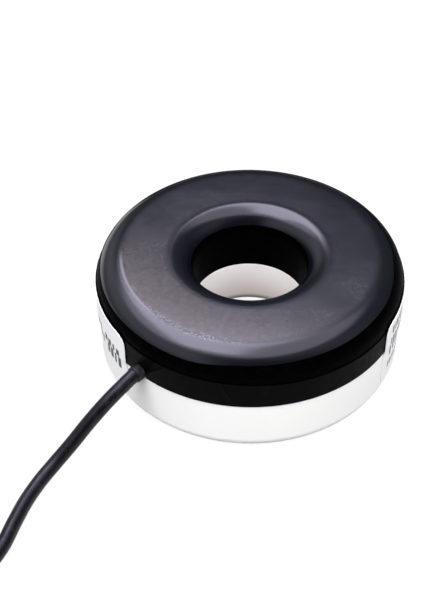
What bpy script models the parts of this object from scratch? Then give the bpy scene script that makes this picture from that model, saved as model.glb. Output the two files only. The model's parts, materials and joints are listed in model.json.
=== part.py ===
"""Solid-core current transformer: a ring core with its winding, in a two-part moulded case with a two-core lead.

Metres, +Z up. The origin is the centre of the bore, on the surface that the case stands on.
Angles are in degrees from +X, anticlockwise seen from above.
"""

import math

import bmesh
import bpy
from mathutils import Matrix, Vector

# The moulded case
CASE_RADIUS = 0.0400
CASE_HEIGHT = 0.0315
RING_WIDTH = 0.0252  # from the bore to the outside
WALL = 0.0018
CROWN_ROUND = 0.0065  # outer edge of the cover
LIP_ROUND = 0.0061  # edge of the cover that rolls into the bore
FOOT_ROUND = 0.0040  # outer edge of the tray's floor
BORE_FOOT_ROUND = 0.0033  # bore edge of the tray's floor
COVER_DEPTH = 0.0140  # from the cover's top to where the shells meet on the outside
BORE_COVER_DEPTH = 0.0171  # to where they meet in the bore
LAP_HEIGHT = 0.0018  # how far the tray's tongues stand up inside the cover
RIB_COUNT = 8
RIB_WIDTH = 0.0014
RIB_ROOT = 0.0005  # how far a rib runs into the wall that carries it
RIB_DROP = 0.0055  # from the joint down to the tops of the tray's ribs
GAP = 0.0003  # between pieces that seat on each other

# The wound core, which takes the room that the case leaves it
BORE_SPACE = 0.0006  # from the bore tube to the wires
SIDE_SPACE = 0.0057  # from the side wall to the wires, for the ribs and the lead's end
HEAD_SPACE = 0.0061  # from the cover's ceiling to the upper cushion, for the board's parts
CAP_WALL = 0.0008
WIRE_RADIUS = 0.0008
WIRE_GAP = 0.0002
WIRE_PITCH = 0.00225  # from turn to turn on the inside of the ring
WINDING_BREAK = 16.0  # degrees left bare where the winding starts and ends
WINDING_END = 0.0012  # how far the wire's two ends stand up
CUSHION_THICKNESS = 0.0013
CUSHION_INSET = 0.0006  # from the cushions' edges to the middle of the side wires

# The band and the labels on the side
BAND_BELOW_JOINT = 0.0012
BAND_BELOW_CROWN = 0.0010
BAND_THICKNESS = 0.0003
SKIN_GAP = 0.0001  # between a stuck-on piece and what it is stuck to
LABEL_THICKNESS = 0.00015
LABEL_CORNER = 0.0030
LABEL_STEP = 0.0009  # the label bridges the band's lower edge over this height
LABEL_ANGLES = {"label_left": (-201.5, -139.5), "label_right": (-29.5, 32.5)}
LABEL_COLUMNS = 16

# The lead
LEAD_ANGLE = -132.0
LEAD_RADIUS = 0.00185
CORD_WIRE_RADIUS = 0.0007  # an insulated core of the lead
TIP_RADIUS = 0.00035
TIP_LENGTH = 0.0070
JACKET_REACH = 0.0042  # how far the jacket reaches inside the wall
GROMMET_WALL = 0.0003
COLLAR_STEP = 0.0004
COLLAR_LENGTH = 0.0016
COLLAR_ROUND = 0.0006
FLANGE_STEP = 0.0008
FLANGE_THICKNESS = 0.0007
TIE_WIDTH = 0.0013
TIE_THICKNESS = 0.0006
TIE_HEAD = 0.0018
SLEEVE_LENGTH = 0.0120
SLEEVE_THICKNESS = 0.00035
SLEEVE_OVERRUN = 0.0040  # how far the sleeve reaches past the jacket's end

# The coil of spare lead
COIL_CENTRE = (-0.0950, -0.0620)
COIL_RADIUS = 0.0222  # to the middle of its turns
COIL_WIDTH = 0.0176
COIL_LAYERS = 2
COIL_TIE_ANGLE = 135.0
COIL_TIE_WIDTH = 0.0050
COIL_TIE_THICKNESS = 0.0003

# The board inside, on top of the winding
BOARD_WIDTH = 0.0150  # across the lead's direction
BOARD_THICKNESS = 0.0010
BOARD_LIFT = 0.0004  # solder under the board keeps it off the wires
BOARD_MARGIN = 0.0020  # from the board to each side of the cushion's opening
PAD_LENGTH = 0.0015  # copper at each end of the board, where the wires land
RESISTOR_RADIUS = 0.0010
RESISTOR_LENGTH = 0.0050
DIODE_RADIUS = 0.0008
DIODE_LENGTH = 0.0038
LEG_RADIUS = 0.0003
LEG_SPREAD = 0.0014  # from a body's end to its bent leg
LINK_WIRE_RADIUS = 0.0005

# How finely round shapes are cut
CASE_STEPS = 56
RING_STEPS = 34
SMALL_STEPS = 16
CROWN_STEPS = 8
FOOT_STEPS = 4
INNER_STEPS = 2  # roundings inside the case

# The lead's route from the grommet, and the way its free end lies beside the coil
LEAD_ROUTE = [
    (-0.0310, -0.0342, 0.0164),
    (-0.0346, -0.0374, 0.0142),
    (-0.0390, -0.0410, 0.0105),
    (-0.0430, -0.0443, 0.0066),
    (-0.0470, -0.0481, 0.0035),
    (-0.0503, -0.0528, 0.0021),
    (-0.0528, -0.0587, 0.0019),
    (-0.0546, -0.0650, 0.0019),
    (-0.0565, -0.0722, 0.0019),
    (-0.0600, -0.0788, 0.0020),
    (-0.0658, -0.0838, 0.0022),
    (-0.0725, -0.0868, 0.0024),
]
TAIL_ROUTE = [
    (-0.1246, -0.0464, 0.0041),
    (-0.1243, -0.0390, 0.0029),
    (-0.1233, -0.0330, 0.0026),
    (-0.1216, -0.0270, 0.0026),
    (-0.1195, -0.0210, 0.0026),
]
ROUTE_SPACING = 0.0040

# Sizes that follow from those above
BORE_RADIUS = CASE_RADIUS - RING_WIDTH
TUBE_RADIUS = BORE_RADIUS + WALL
INNER_RADIUS = CASE_RADIUS - WALL
CEILING = CASE_HEIGHT - WALL
JOINT_HEIGHT = CASE_HEIGHT - COVER_DEPTH
BORE_JOINT_HEIGHT = CASE_HEIGHT - BORE_COVER_DEPTH
LAP_GAP = GAP / 2
HALF_WALL = WALL / 2
BAND_BOTTOM = JOINT_HEIGHT - BAND_BELOW_JOINT
BAND_TOP = CASE_HEIGHT - CROWN_ROUND - BAND_BELOW_CROWN
BAND_RADIUS = CASE_RADIUS + SKIN_GAP + BAND_THICKNESS
LABEL_BOTTOM = FOOT_ROUND
LABEL_TOP = CASE_HEIGHT - CROWN_ROUND

WINDING_INSIDE = TUBE_RADIUS + BORE_SPACE + WIRE_RADIUS
WINDING_OUTSIDE = INNER_RADIUS - SIDE_SPACE - WIRE_RADIUS
WINDING_MIDDLE = (WINDING_INSIDE + WINDING_OUTSIDE) / 2
WINDING_TURNS = int(math.radians(360.0 - WINDING_BREAK) * WINDING_INSIDE / WIRE_PITCH)
WINDING_CORNER = (2 - math.sqrt(2)) * (WIRE_RADIUS + WIRE_GAP)  # clears the square edge of the cap
CAP_INSIDE = WINDING_INSIDE + WIRE_RADIUS + WIRE_GAP
CAP_OUTSIDE = WINDING_OUTSIDE - WIRE_RADIUS - WIRE_GAP
CORE_INSIDE = CAP_INSIDE + CAP_WALL + GAP
CORE_OUTSIDE = CAP_OUTSIDE - CAP_WALL - GAP

LOWER_CUSHION = WALL + GAP
WINDING_BOTTOM = LOWER_CUSHION + CUSHION_THICKNESS + GAP + WIRE_RADIUS
CAP_BOTTOM = WINDING_BOTTOM + WIRE_RADIUS + WIRE_GAP
CORE_BOTTOM = CAP_BOTTOM + CAP_WALL + GAP
RIB_EDGE = CEILING - HEAD_SPACE
UPPER_CUSHION = RIB_EDGE - GAP - CUSHION_THICKNESS
WINDING_TOP = UPPER_CUSHION - GAP - WIRE_RADIUS
CAP_TOP = WINDING_TOP - WIRE_RADIUS - WIRE_GAP
CORE_TOP = CAP_TOP - CAP_WALL - GAP

LEAD_WAY = Vector((math.cos(math.radians(LEAD_ANGLE)), math.sin(math.radians(LEAD_ANGLE)), 0.0))
LEAD_ACROSS = Vector((-LEAD_WAY.y, LEAD_WAY.x, 0.0))
LEAD_HEIGHT = JOINT_HEIGHT
LEAD_BORE = LEAD_RADIUS + GAP
JACKET_END = INNER_RADIUS - JACKET_REACH
NECK_RADIUS = LEAD_BORE + GROMMET_WALL
HOLE_RADIUS = NECK_RADIUS + LAP_GAP
COLLAR_RADIUS = NECK_RADIUS + COLLAR_STEP
FLANGE_RADIUS = NECK_RADIUS + FLANGE_STEP
CORD_WIRE_OFFSET = CORD_WIRE_RADIUS + GAP / 3
COIL_LIFT = COIL_TIE_THICKNESS + GAP

PART_SPACING = RESISTOR_RADIUS + GAP  # from the board's middle line to each part
LANDING = PART_SPACING + RESISTOR_RADIUS + GAP  # from there to the ends of the wires
BOARD_LENGTH = 2 * (LANDING + PAD_LENGTH)
BOARD_RADIUS = WINDING_MIDDLE
BOARD_TOP = WINDING_TOP + WIRE_RADIUS + BOARD_LIFT + BOARD_THICKNESS


def clear_scene():
    for thing in list(bpy.data.objects):
        bpy.data.objects.remove(thing, do_unlink=True)


def collection(name):
    group = bpy.data.collections.new(name)
    bpy.context.scene.collection.children.link(group)
    return group


def finish(name, colour, roughness, metallic=0.0):
    """A Principled material with one colour."""
    made = bpy.data.materials.new(name)
    made.use_nodes = True
    shader = made.node_tree.nodes["Principled BSDF"]
    shader.inputs["Base Color"].default_value = (*colour, 1.0)
    shader.inputs["Roughness"].default_value = roughness
    shader.inputs["Metallic"].default_value = metallic
    return made


def link_piece(name, data, material):
    piece = bpy.data.objects.new(name, data)
    if material is not None and not data.materials:
        data.materials.append(material)
    (pieces if material is not None else cutters).objects.link(piece)
    if material is None:
        piece.hide_render = True
        piece.display_type = "WIRE"
    return piece


def arc(centre, radius, start, end, steps):
    """Points (distance from the axis, height) along an arc, both ends included."""
    angles = (math.radians(start + (end - start) * i / steps) for i in range(steps + 1))
    return [(centre[0] + radius * math.cos(a), centre[1] + radius * math.sin(a)) for a in angles]


def turned(name, profile, material, steps=CASE_STEPS):
    """A ring turned about Z from a closed profile that runs down its outer side."""
    mesh = bpy.data.meshes.new(name)
    edges = [(i, (i + 1) % len(profile)) for i in range(len(profile))]
    mesh.from_pydata([(r, 0.0, z) for r, z in profile], edges, [])
    piece = link_piece(name, mesh, material)
    turn = piece.modifiers.new("Turn", "SCREW")
    turn.steps = turn.render_steps = steps
    turn.merge_threshold = 0.00001
    turn.use_smooth_shade = True
    return piece


def ring_profile(inside, outside, bottom, top):
    return [(outside, top), (outside, bottom), (inside, bottom), (inside, top)]


def box(name, size, centre, angle, material):
    """A block with its first side along the given angle."""
    mesh = bpy.data.meshes.new(name)
    shape = bmesh.new()
    bmesh.ops.create_cube(shape, size=1.0)
    bmesh.ops.scale(shape, vec=size, verts=shape.verts)
    shape.to_mesh(mesh)
    shape.free()
    piece = link_piece(name, mesh, material)
    piece.location = centre
    piece.rotation_euler = (0.0, 0.0, math.radians(angle))
    return piece


def rod(name, radius, length, centre, way, material, steps=SMALL_STEPS):
    """A plain cylinder with its axis along way."""
    mesh = bpy.data.meshes.new(name)
    shape = bmesh.new()
    bmesh.ops.create_cone(
        shape, cap_ends=True, segments=steps, radius1=radius, radius2=radius, depth=length
    )
    shape.to_mesh(mesh)
    shape.free()
    piece = link_piece(name, mesh, material)
    face_along(piece, centre, way)
    return piece


def face_along(piece, point, way):
    """Puts a piece made about Z at a point, with its +Z along way."""
    piece.matrix_world = Matrix.Translation(point) @ way.to_track_quat("Z", "Y").to_matrix().to_4x4()


def combine(piece, other, how):
    step = piece.modifiers.new(how.title(), "BOOLEAN")
    step.operation = how
    step.solver = "EXACT"
    step.object = other


def wire(name, points, radius, material, resolution=1):
    """A tube with flat ends along the points."""
    curve = bpy.data.curves.new(name, "CURVE")
    curve.dimensions = "3D"
    curve.bevel_depth = radius
    curve.bevel_resolution = resolution
    curve.use_fill_caps = True
    line = curve.splines.new("POLY")
    line.points.add(len(points) - 1)
    for knot, point in zip(line.points, points):
        knot.co = (*point, 1.0)
    return link_piece(name, curve, material)


def smooth_route(route, spacing, fine=12):
    """Evenly spaced points on a smooth curve through the route's own points."""
    own = [Vector(point) for point in route]
    knots = [2 * own[0] - own[1], *own, 2 * own[-1] - own[-2]]
    line = []
    for a, b, c, d in zip(knots, knots[1:], knots[2:], knots[3:]):
        for i in range(fine):
            t = i / fine
            line.append(
                b + (c - a) * (t / 2) + (2 * a - 5 * b + 4 * c - d) * (t**2 / 2) + (3 * b - a - 3 * c + d) * (t**3 / 2)
            )
    line.append(own[-1])
    lengths = [0.0]
    for a, b in zip(line, line[1:]):
        lengths.append(lengths[-1] + (b - a).length)
    count = max(2, round(lengths[-1] / spacing))
    even, at = [], 0
    for i in range(count + 1):
        wanted = lengths[-1] * i / count
        while at < len(line) - 2 and lengths[at + 1] < wanted:
            at += 1
        share = (wanted - lengths[at]) / (lengths[at + 1] - lengths[at])
        even.append(line[at].lerp(line[at + 1], min(share, 1.0)))
    return even


def beside_lead(distance, across, height):
    """A point given along and across the lead's direction, from the bore's axis."""
    return LEAD_WAY * distance + LEAD_ACROSS * across + Vector((0.0, 0.0, height))


def around(radius, angle, height):
    a = math.radians(angle)
    return Vector((radius * math.cos(a), radius * math.sin(a), height))


def rib_angles():
    """The ribs stand clear of the lead, half a space to each side of it."""
    return [LEAD_ANGLE + 360.0 / RIB_COUNT * (i + 0.5) for i in range(RIB_COUNT)]


def add_ribs(shell, inside, outside, bottom, top):
    for number, angle in enumerate(rib_angles()):
        size = (outside - inside, RIB_WIDTH, top - bottom)
        middle = around((inside + outside) / 2, angle, (bottom + top) / 2)
        combine(shell, box(f"{shell.name}_rib_{number}", size, middle, angle, None), "UNION")


def cut_lead_hole(piece):
    """The way through the wall for the grommet's neck."""
    outside = BAND_RADIUS + WALL
    length = outside - (INNER_RADIUS - WALL)
    middle = beside_lead(outside - length / 2, 0.0, LEAD_HEIGHT)
    hole = rod(f"{piece.name}_hole", HOLE_RADIUS, length, middle, LEAD_WAY, None, SMALL_STEPS + 4)
    combine(piece, hole, "DIFFERENCE")


def make_cover():
    """Black moulding: ring-shaped crown, full round edge, rolled lip and the upper bore wall."""
    crown = (CASE_RADIUS - CROWN_ROUND, CASE_HEIGHT - CROWN_ROUND)
    lip = (BORE_RADIUS + LIP_ROUND, CASE_HEIGHT - LIP_ROUND)
    outer_lap = CASE_RADIUS - HALF_WALL + LAP_GAP
    bore_lap = BORE_RADIUS + HALF_WALL - LAP_GAP
    profile = [
        *arc(crown, CROWN_ROUND, 90, 0, CROWN_STEPS),
        (CASE_RADIUS, JOINT_HEIGHT + LAP_GAP),
        (outer_lap, JOINT_HEIGHT + LAP_GAP),
        (outer_lap, JOINT_HEIGHT + LAP_HEIGHT + GAP),
        (INNER_RADIUS, JOINT_HEIGHT + LAP_HEIGHT + GAP),
        *arc(crown, CROWN_ROUND - WALL, 0, 90, INNER_STEPS),
        *arc(lip, LIP_ROUND - WALL, 90, 180, INNER_STEPS),
        (TUBE_RADIUS, BORE_JOINT_HEIGHT + LAP_HEIGHT + GAP),
        (bore_lap, BORE_JOINT_HEIGHT + LAP_HEIGHT + GAP),
        (bore_lap, BORE_JOINT_HEIGHT + LAP_GAP),
        (BORE_RADIUS, BORE_JOINT_HEIGHT + LAP_GAP),
        *arc(lip, LIP_ROUND, 180, 90, CROWN_STEPS),
    ]
    cover = turned("top_shell", profile, black_plastic)
    add_ribs(cover, lip[0], crown[0], RIB_EDGE, CEILING + RIB_ROOT)
    cut_lead_hole(cover)


def make_tray():
    """White moulding: floor, side wall, lower bore wall, and a tongue on each wall for the cover."""
    foot = (CASE_RADIUS - FOOT_ROUND, FOOT_ROUND)
    bore_foot = (BORE_RADIUS + BORE_FOOT_ROUND, BORE_FOOT_ROUND)
    outer_tongue = CASE_RADIUS - HALF_WALL - LAP_GAP
    bore_tongue = BORE_RADIUS + HALF_WALL + LAP_GAP
    profile = [
        (CASE_RADIUS, JOINT_HEIGHT - LAP_GAP),
        *arc(foot, FOOT_ROUND, 0, -90, FOOT_STEPS),
        *arc(bore_foot, BORE_FOOT_ROUND, -90, -180, FOOT_STEPS),
        (BORE_RADIUS, BORE_JOINT_HEIGHT - LAP_GAP),
        (bore_tongue, BORE_JOINT_HEIGHT - LAP_GAP),
        (bore_tongue, BORE_JOINT_HEIGHT + LAP_HEIGHT),
        (TUBE_RADIUS, BORE_JOINT_HEIGHT + LAP_HEIGHT),
        *arc(bore_foot, BORE_FOOT_ROUND - WALL, 180, 270, INNER_STEPS),
        *arc(foot, FOOT_ROUND - WALL, -90, 0, INNER_STEPS),
        (INNER_RADIUS, JOINT_HEIGHT + LAP_HEIGHT),
        (outer_tongue, JOINT_HEIGHT + LAP_HEIGHT),
        (outer_tongue, JOINT_HEIGHT - LAP_GAP),
    ]
    tray = turned("bottom_shell", profile, white_plastic)
    inside = WINDING_OUTSIDE + WIRE_RADIUS + GAP
    add_ribs(tray, inside, INNER_RADIUS + RIB_ROOT, WALL - RIB_ROOT, JOINT_HEIGHT - RIB_DROP)
    cut_lead_hole(tray)


def make_band():
    """Vinyl tape drawn tight round the joint."""
    profile = ring_profile(CASE_RADIUS + SKIN_GAP, BAND_RADIUS, BAND_BOTTOM, BAND_TOP)
    cut_lead_hole(turned("joint_band", profile, black_tape))


def label_point(angle, height, outside):
    """A point on the back of a label, which follows the band's lower edge down on to the tray."""
    low = CASE_RADIUS + SKIN_GAP
    high = BAND_RADIUS + SKIN_GAP
    share = min(max((height - (BAND_BOTTOM - LABEL_STEP)) / LABEL_STEP, 0.0), 1.0)
    return around(low + (high - low) * share + outside, angle, height)


def make_label(name, start, end):
    """Film label with round corners, made as columns of cloth-like quads bent round the wall."""
    radius = BAND_RADIUS + SKIN_GAP
    mesh = bpy.data.meshes.new(name)
    shape = bmesh.new()
    half_width = math.radians(end - start) * radius / 2
    columns = []
    for i in range(LABEL_COLUMNS + 1):
        across = -math.cos(math.pi * i / LABEL_COLUMNS)
        into_corner = max(abs(across) * half_width - (half_width - LABEL_CORNER), 0.0)
        inset = LABEL_CORNER - math.sqrt(max(LABEL_CORNER**2 - into_corner**2, 0.0))
        heights = [
            LABEL_BOTTOM + inset,
            BAND_BOTTOM - LABEL_STEP,
            BAND_BOTTOM,
            LABEL_TOP - inset,
        ]
        angle = start + (end - start) * (across + 1) / 2
        columns.append([shape.verts.new(label_point(angle, height, 0.0)) for height in heights])
    for left, right in zip(columns, columns[1:]):
        for low in range(len(left) - 1):
            shape.faces.new((left[low], right[low], right[low + 1], left[low + 1]))
    shape.to_mesh(mesh)
    shape.free()
    label = link_piece(name, mesh, label_film)
    film = label.modifiers.new("Film", "SOLIDIFY")
    film.thickness = LABEL_THICKNESS
    film.offset = 1.0


def make_core():
    """Silicon steel strip wound into a closed ring, in two insulating channels."""
    turned(
        "core",
        ring_profile(CORE_INSIDE, CORE_OUTSIDE, CORE_BOTTOM, CORE_TOP),
        strip_steel,
        RING_STEPS,
    )
    middle = (CAP_BOTTOM + CAP_TOP) / 2
    for name, flat, lip in (
        ("core_cap_lower", CAP_BOTTOM, middle - LAP_GAP),
        ("core_cap_upper", CAP_TOP, middle + LAP_GAP),
    ):
        inward = CAP_WALL if lip > flat else -CAP_WALL
        profile = [
            (CAP_OUTSIDE, lip),
            (CAP_OUTSIDE, flat),
            (CAP_INSIDE, flat),
            (CAP_INSIDE, lip),
            (CAP_INSIDE + CAP_WALL, lip),
            (CAP_INSIDE + CAP_WALL, flat + inward),
            (CAP_OUTSIDE - CAP_WALL, flat + inward),
            (CAP_OUTSIDE - CAP_WALL, lip),
        ]
        turned(name, profile if lip > flat else profile[::-1], cap_plastic, RING_STEPS)


def winding_path():
    """One wire laid round the section of the ring, turn after turn, from the break to the break."""
    inside, outside = WINDING_INSIDE, WINDING_OUTSIDE
    bottom, top = WINDING_BOTTOM, WINDING_TOP
    c = WINDING_CORNER
    section = [
        (inside, top - c),
        (inside, bottom + c),
        (inside + c, bottom),
        (outside - c, bottom),
        (outside, bottom + c),
        (outside, top - c),
        (outside - c, top),
        (inside + c, top),
    ]
    ends_at = section.index((outside, top - c))
    count = WINDING_TURNS * len(section) + ends_at + 1
    sweep = 360.0 - WINDING_BREAK
    start = LEAD_ANGLE + WINDING_BREAK / 2
    path = []
    for i in range(count):
        radius, height = section[i % len(section)]
        path.append(around(radius, start + sweep * i / (count - 1), height))
    rise = Vector((0.0, 0.0, c + WINDING_END))
    return [path[0] + rise, *path, path[-1] + rise]


def make_winding():
    wire("secondary_winding", winding_path(), WIRE_RADIUS, copper, resolution=0)


def make_cushions():
    """Foam rings above and below the winding; the upper one is open where the board lies."""
    inside, outside = WINDING_INSIDE + CUSHION_INSET, WINDING_OUTSIDE - CUSHION_INSET
    lower = ring_profile(inside, outside, LOWER_CUSHION, LOWER_CUSHION + CUSHION_THICKNESS)
    upper = ring_profile(inside, outside, UPPER_CUSHION, UPPER_CUSHION + CUSHION_THICKNESS)
    turned("core_cushion_lower", lower, foam, RING_STEPS)
    ring = turned("core_cushion_upper", upper, foam, RING_STEPS)
    size = (outside, BOARD_WIDTH + 2 * BOARD_MARGIN, 3 * CUSHION_THICKNESS)
    centre = beside_lead(outside * 0.75, 0.0, UPPER_CUSHION + CUSHION_THICKNESS / 2)
    combine(ring, box("cushion_opening", size, centre, LEAD_ANGLE, None), "DIFFERENCE")


def make_board():
    centre = beside_lead(BOARD_RADIUS, 0.0, BOARD_TOP - BOARD_THICKNESS / 2)
    size = (BOARD_LENGTH, BOARD_WIDTH, BOARD_THICKNESS)
    board = box("terminal_board", size, centre, LEAD_ANGLE, board_laminate)
    edge = board.modifiers.new("Corners", "BEVEL")
    edge.width = BOARD_THICKNESS / 4
    edge.segments = 1
    make_board_part("burden_resistor", RESISTOR_RADIUS, RESISTOR_LENGTH, -PART_SPACING, resistor_coat)
    make_board_part("clamp_diode", DIODE_RADIUS, DIODE_LENGTH, PART_SPACING, diode_glass)


def make_board_part(name, radius, length, offset, material):
    """A round body that lies on the board, on one leg wire bent down at both ends."""
    distance = BOARD_RADIUS + offset
    axis_height = BOARD_TOP + GAP + radius
    reach = length / 2 + LEG_SPREAD
    foot = BOARD_TOP + GAP
    bend = min(LEG_SPREAD, axis_height - foot) / 2
    points = [
        (-reach, foot),
        (-reach, axis_height - bend),
        (-reach + bend, axis_height),
        (reach - bend, axis_height),
        (reach, axis_height - bend),
        (reach, foot),
    ]
    legs = wire(f"{name}_legs", [beside_lead(distance, *point) for point in points], LEG_RADIUS, material)
    body = rod(name, radius, length, beside_lead(distance, 0.0, axis_height), LEAD_ACROSS, material, 12)
    combine(body, as_mesh(legs), "UNION")


def as_mesh(piece):
    """The same shape as a closed mesh, kept with the cutters."""
    bpy.context.view_layer.update()
    evaluated = piece.evaluated_get(bpy.context.evaluated_depsgraph_get())
    mesh = bpy.data.meshes.new_from_object(evaluated)
    shape = bmesh.new()
    shape.from_mesh(mesh)
    bmesh.ops.remove_doubles(shape, verts=shape.verts, dist=0.000001)
    shape.to_mesh(mesh)
    shape.free()
    made = bpy.data.objects.new(piece.name + "_mesh", mesh)
    cutters.objects.link(made)
    made.matrix_world = piece.matrix_world
    made.hide_render = True
    made.display_type = "WIRE"
    bpy.data.objects.remove(piece, do_unlink=True)
    return made


def make_link_wires():
    """The winding's two ends, and the lead's two cores, brought up to the board."""
    pad = BOARD_TOP + LINK_WIRE_RADIUS + GAP
    path = winding_path()
    for name, end, landing in (
        ("winding_lead_start", path[0], BOARD_RADIUS - LANDING),
        ("winding_lead_finish", path[-1], BOARD_RADIUS + LANDING),
    ):
        foot = end + Vector((0.0, 0.0, GAP))
        across = foot.dot(LEAD_ACROSS)
        stand = foot.dot(LEAD_WAY)
        route = [
            foot,
            beside_lead(stand, across, (foot.z + pad) / 2),
            beside_lead(stand + (landing - stand) * 0.25, across, pad),
            beside_lead(landing, across, pad),
        ]
        wire(name, smooth_route(route, LINK_WIRE_RADIUS * 2), LINK_WIRE_RADIUS, winding_sleeve, 0)
    core_pad = BOARD_TOP + CORD_WIRE_RADIUS + GAP
    landing = BOARD_RADIUS + LANDING
    start = JACKET_END - GAP
    rise = (CAP_OUTSIDE + JACKET_END) / 2
    for name, side, material in (
        ("inner_core_white", 1, white_insulation),
        ("inner_core_black", -1, black_insulation),
    ):
        offset = side * CORD_WIRE_OFFSET
        route = [
            beside_lead(start, offset, LEAD_HEIGHT),
            beside_lead((start + rise) / 2, offset, LEAD_HEIGHT),
            beside_lead(rise, offset, LEAD_HEIGHT + 2 * CORD_WIRE_RADIUS),
            beside_lead(rise, 1.4 * offset, core_pad - 2 * CORD_WIRE_RADIUS),
            beside_lead((rise + landing) / 2, 1.5 * offset, core_pad),
            beside_lead(landing, 1.6 * offset, core_pad),
        ]
        wire(name, smooth_route(route, CORD_WIRE_RADIUS), CORD_WIRE_RADIUS, material)


def make_grommet():
    """Rubber grommet in the joint: round collar outside, neck through the wall, flange inside."""
    collar = BAND_RADIUS + GAP
    tip = collar + COLLAR_LENGTH
    flange = INNER_RADIUS - GAP
    back = flange - FLANGE_THICKNESS
    end_round = (COLLAR_RADIUS - COLLAR_ROUND, tip - COLLAR_ROUND)
    profile = [
        (LEAD_BORE, tip),
        *arc(end_round, COLLAR_ROUND, 90, 0, FOOT_STEPS - 1),
        (COLLAR_RADIUS, collar),
        (NECK_RADIUS, collar),
        (NECK_RADIUS, flange),
        (FLANGE_RADIUS, flange),
        (FLANGE_RADIUS, back),
        (LEAD_BORE, back),
    ]
    grommet = turned("cable_grommet", profile, lead_rubber, SMALL_STEPS)
    face_along(grommet, Vector((0.0, 0.0, LEAD_HEIGHT)), LEAD_WAY)
    tie_back = JACKET_END + GAP
    ring = ring_profile(LEAD_BORE, LEAD_BORE + TIE_THICKNESS, tie_back, tie_back + TIE_WIDTH)
    tie = turned("strain_tie", ring, tie_nylon, SMALL_STEPS)
    face_along(tie, Vector((0.0, 0.0, LEAD_HEIGHT)), LEAD_WAY)
    head_height = LEAD_HEIGHT + LEAD_BORE + (TIE_THICKNESS + TIE_HEAD) / 2
    head_centre = beside_lead(tie_back + TIE_WIDTH / 2, 0.0, head_height)
    head = box("tie_head", (TIE_WIDTH, TIE_HEAD, TIE_HEAD), head_centre, LEAD_ANGLE, None)
    combine(tie, head, "UNION")


def lead_start():
    """The straight stretch of the lead through the case wall and the grommet."""
    inside = beside_lead(JACKET_END, 0.0, LEAD_HEIGHT)
    outside = beside_lead(BAND_RADIUS + GAP + COLLAR_LENGTH, 0.0, LEAD_HEIGHT)
    return [tuple(inside), tuple(inside.lerp(outside, 0.5)), tuple(outside)]


def make_lead():
    """The lead up to its coil, the coil as one ring, and the free end."""
    route = smooth_route(lead_start() + LEAD_ROUTE, ROUTE_SPACING)
    wire("cable", route, LEAD_RADIUS, lead_jacket, 2)
    bottom = COIL_LIFT
    top = COIL_LIFT + 2 * LEAD_RADIUS * COIL_LAYERS
    inside, outside = COIL_RADIUS - COIL_WIDTH / 2, COIL_RADIUS + COIL_WIDTH / 2
    corner = LEAD_RADIUS / 2
    profile = [
        (outside - corner, top),
        (outside, top - corner),
        (outside, bottom + corner),
        (outside - corner, bottom),
        (inside + corner, bottom),
        (inside, bottom + corner),
        (inside, top - corner),
        (inside + corner, top),
    ]
    coil = turned("cable_coil", profile, lead_jacket, RING_STEPS)
    coil.location = (*COIL_CENTRE, 0.0)
    make_coil_tie(bottom, top)
    tail = smooth_route(TAIL_ROUTE, ROUTE_SPACING)
    wire("cable_tail", tail, LEAD_RADIUS, lead_jacket, 2)
    make_free_end(tail[-1], (tail[-1] - tail[-2]).normalized())


def make_coil_tie(bottom, top):
    """A flat strap closed round the turns."""
    middle = Vector((*COIL_CENTRE, 0.0)) + around(COIL_RADIUS, COIL_TIE_ANGLE, (bottom + top) / 2)
    inside = (COIL_WIDTH + 2 * GAP, COIL_TIE_WIDTH * 2, top - bottom + 2 * GAP)
    outside = (inside[0] + 2 * COIL_TIE_THICKNESS, COIL_TIE_WIDTH, inside[2] + 2 * COIL_TIE_THICKNESS)
    strap = box("coil_tie", outside, middle, COIL_TIE_ANGLE, tie_nylon)
    combine(strap, box("coil_tie_inside", inside, middle, COIL_TIE_ANGLE, None), "DIFFERENCE")


def make_free_end(end, way):
    """Shrink sleeve over the jacket's end, and two cores with stripped, tinned tips."""
    profile = ring_profile(LEAD_BORE, LEAD_BORE + SLEEVE_THICKNESS, 0.0, SLEEVE_LENGTH)
    sleeve = turned("cable_end_sleeve", profile, shrink_sleeve, SMALL_STEPS)
    face_along(sleeve, end + way * (SLEEVE_OVERRUN - SLEEVE_LENGTH), way)
    across = way.cross(Vector((0.0, 0.0, 1.0))).normalized()
    floor = CORD_WIRE_RADIUS + GAP / 2
    level = Vector((way.x, way.y, 0.0)).normalized()
    for colour, side, material in (
        ("white", 1, white_insulation),
        ("black", -1, black_insulation),
    ):
        start = end + way * GAP + across * side * CORD_WIRE_OFFSET
        mouth = end + way * SLEEVE_OVERRUN + across * side * CORD_WIRE_OFFSET
        route = [start, mouth]
        for along, spread in ((0.008, 0.0018), (0.015, 0.0045), (0.023, 0.0075), (0.031, 0.0090)):
            point = end + level * along + across * side * spread
            point.z = floor
            route.append(point)
        line = smooth_route(route, CORD_WIRE_RADIUS * 3)
        wire(f"end_core_{colour}", line, CORD_WIRE_RADIUS, material)
        tip_way = (line[-1] - line[-2]).normalized()
        centre = line[-1] + tip_way * (GAP + TIP_LENGTH / 2)
        rod(f"end_tip_{colour}", TIP_RADIUS, TIP_LENGTH, centre, tip_way, tinned_copper, 8)


clear_scene()
pieces = collection("Current transformer")
cutters = collection("Cutters")

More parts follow.
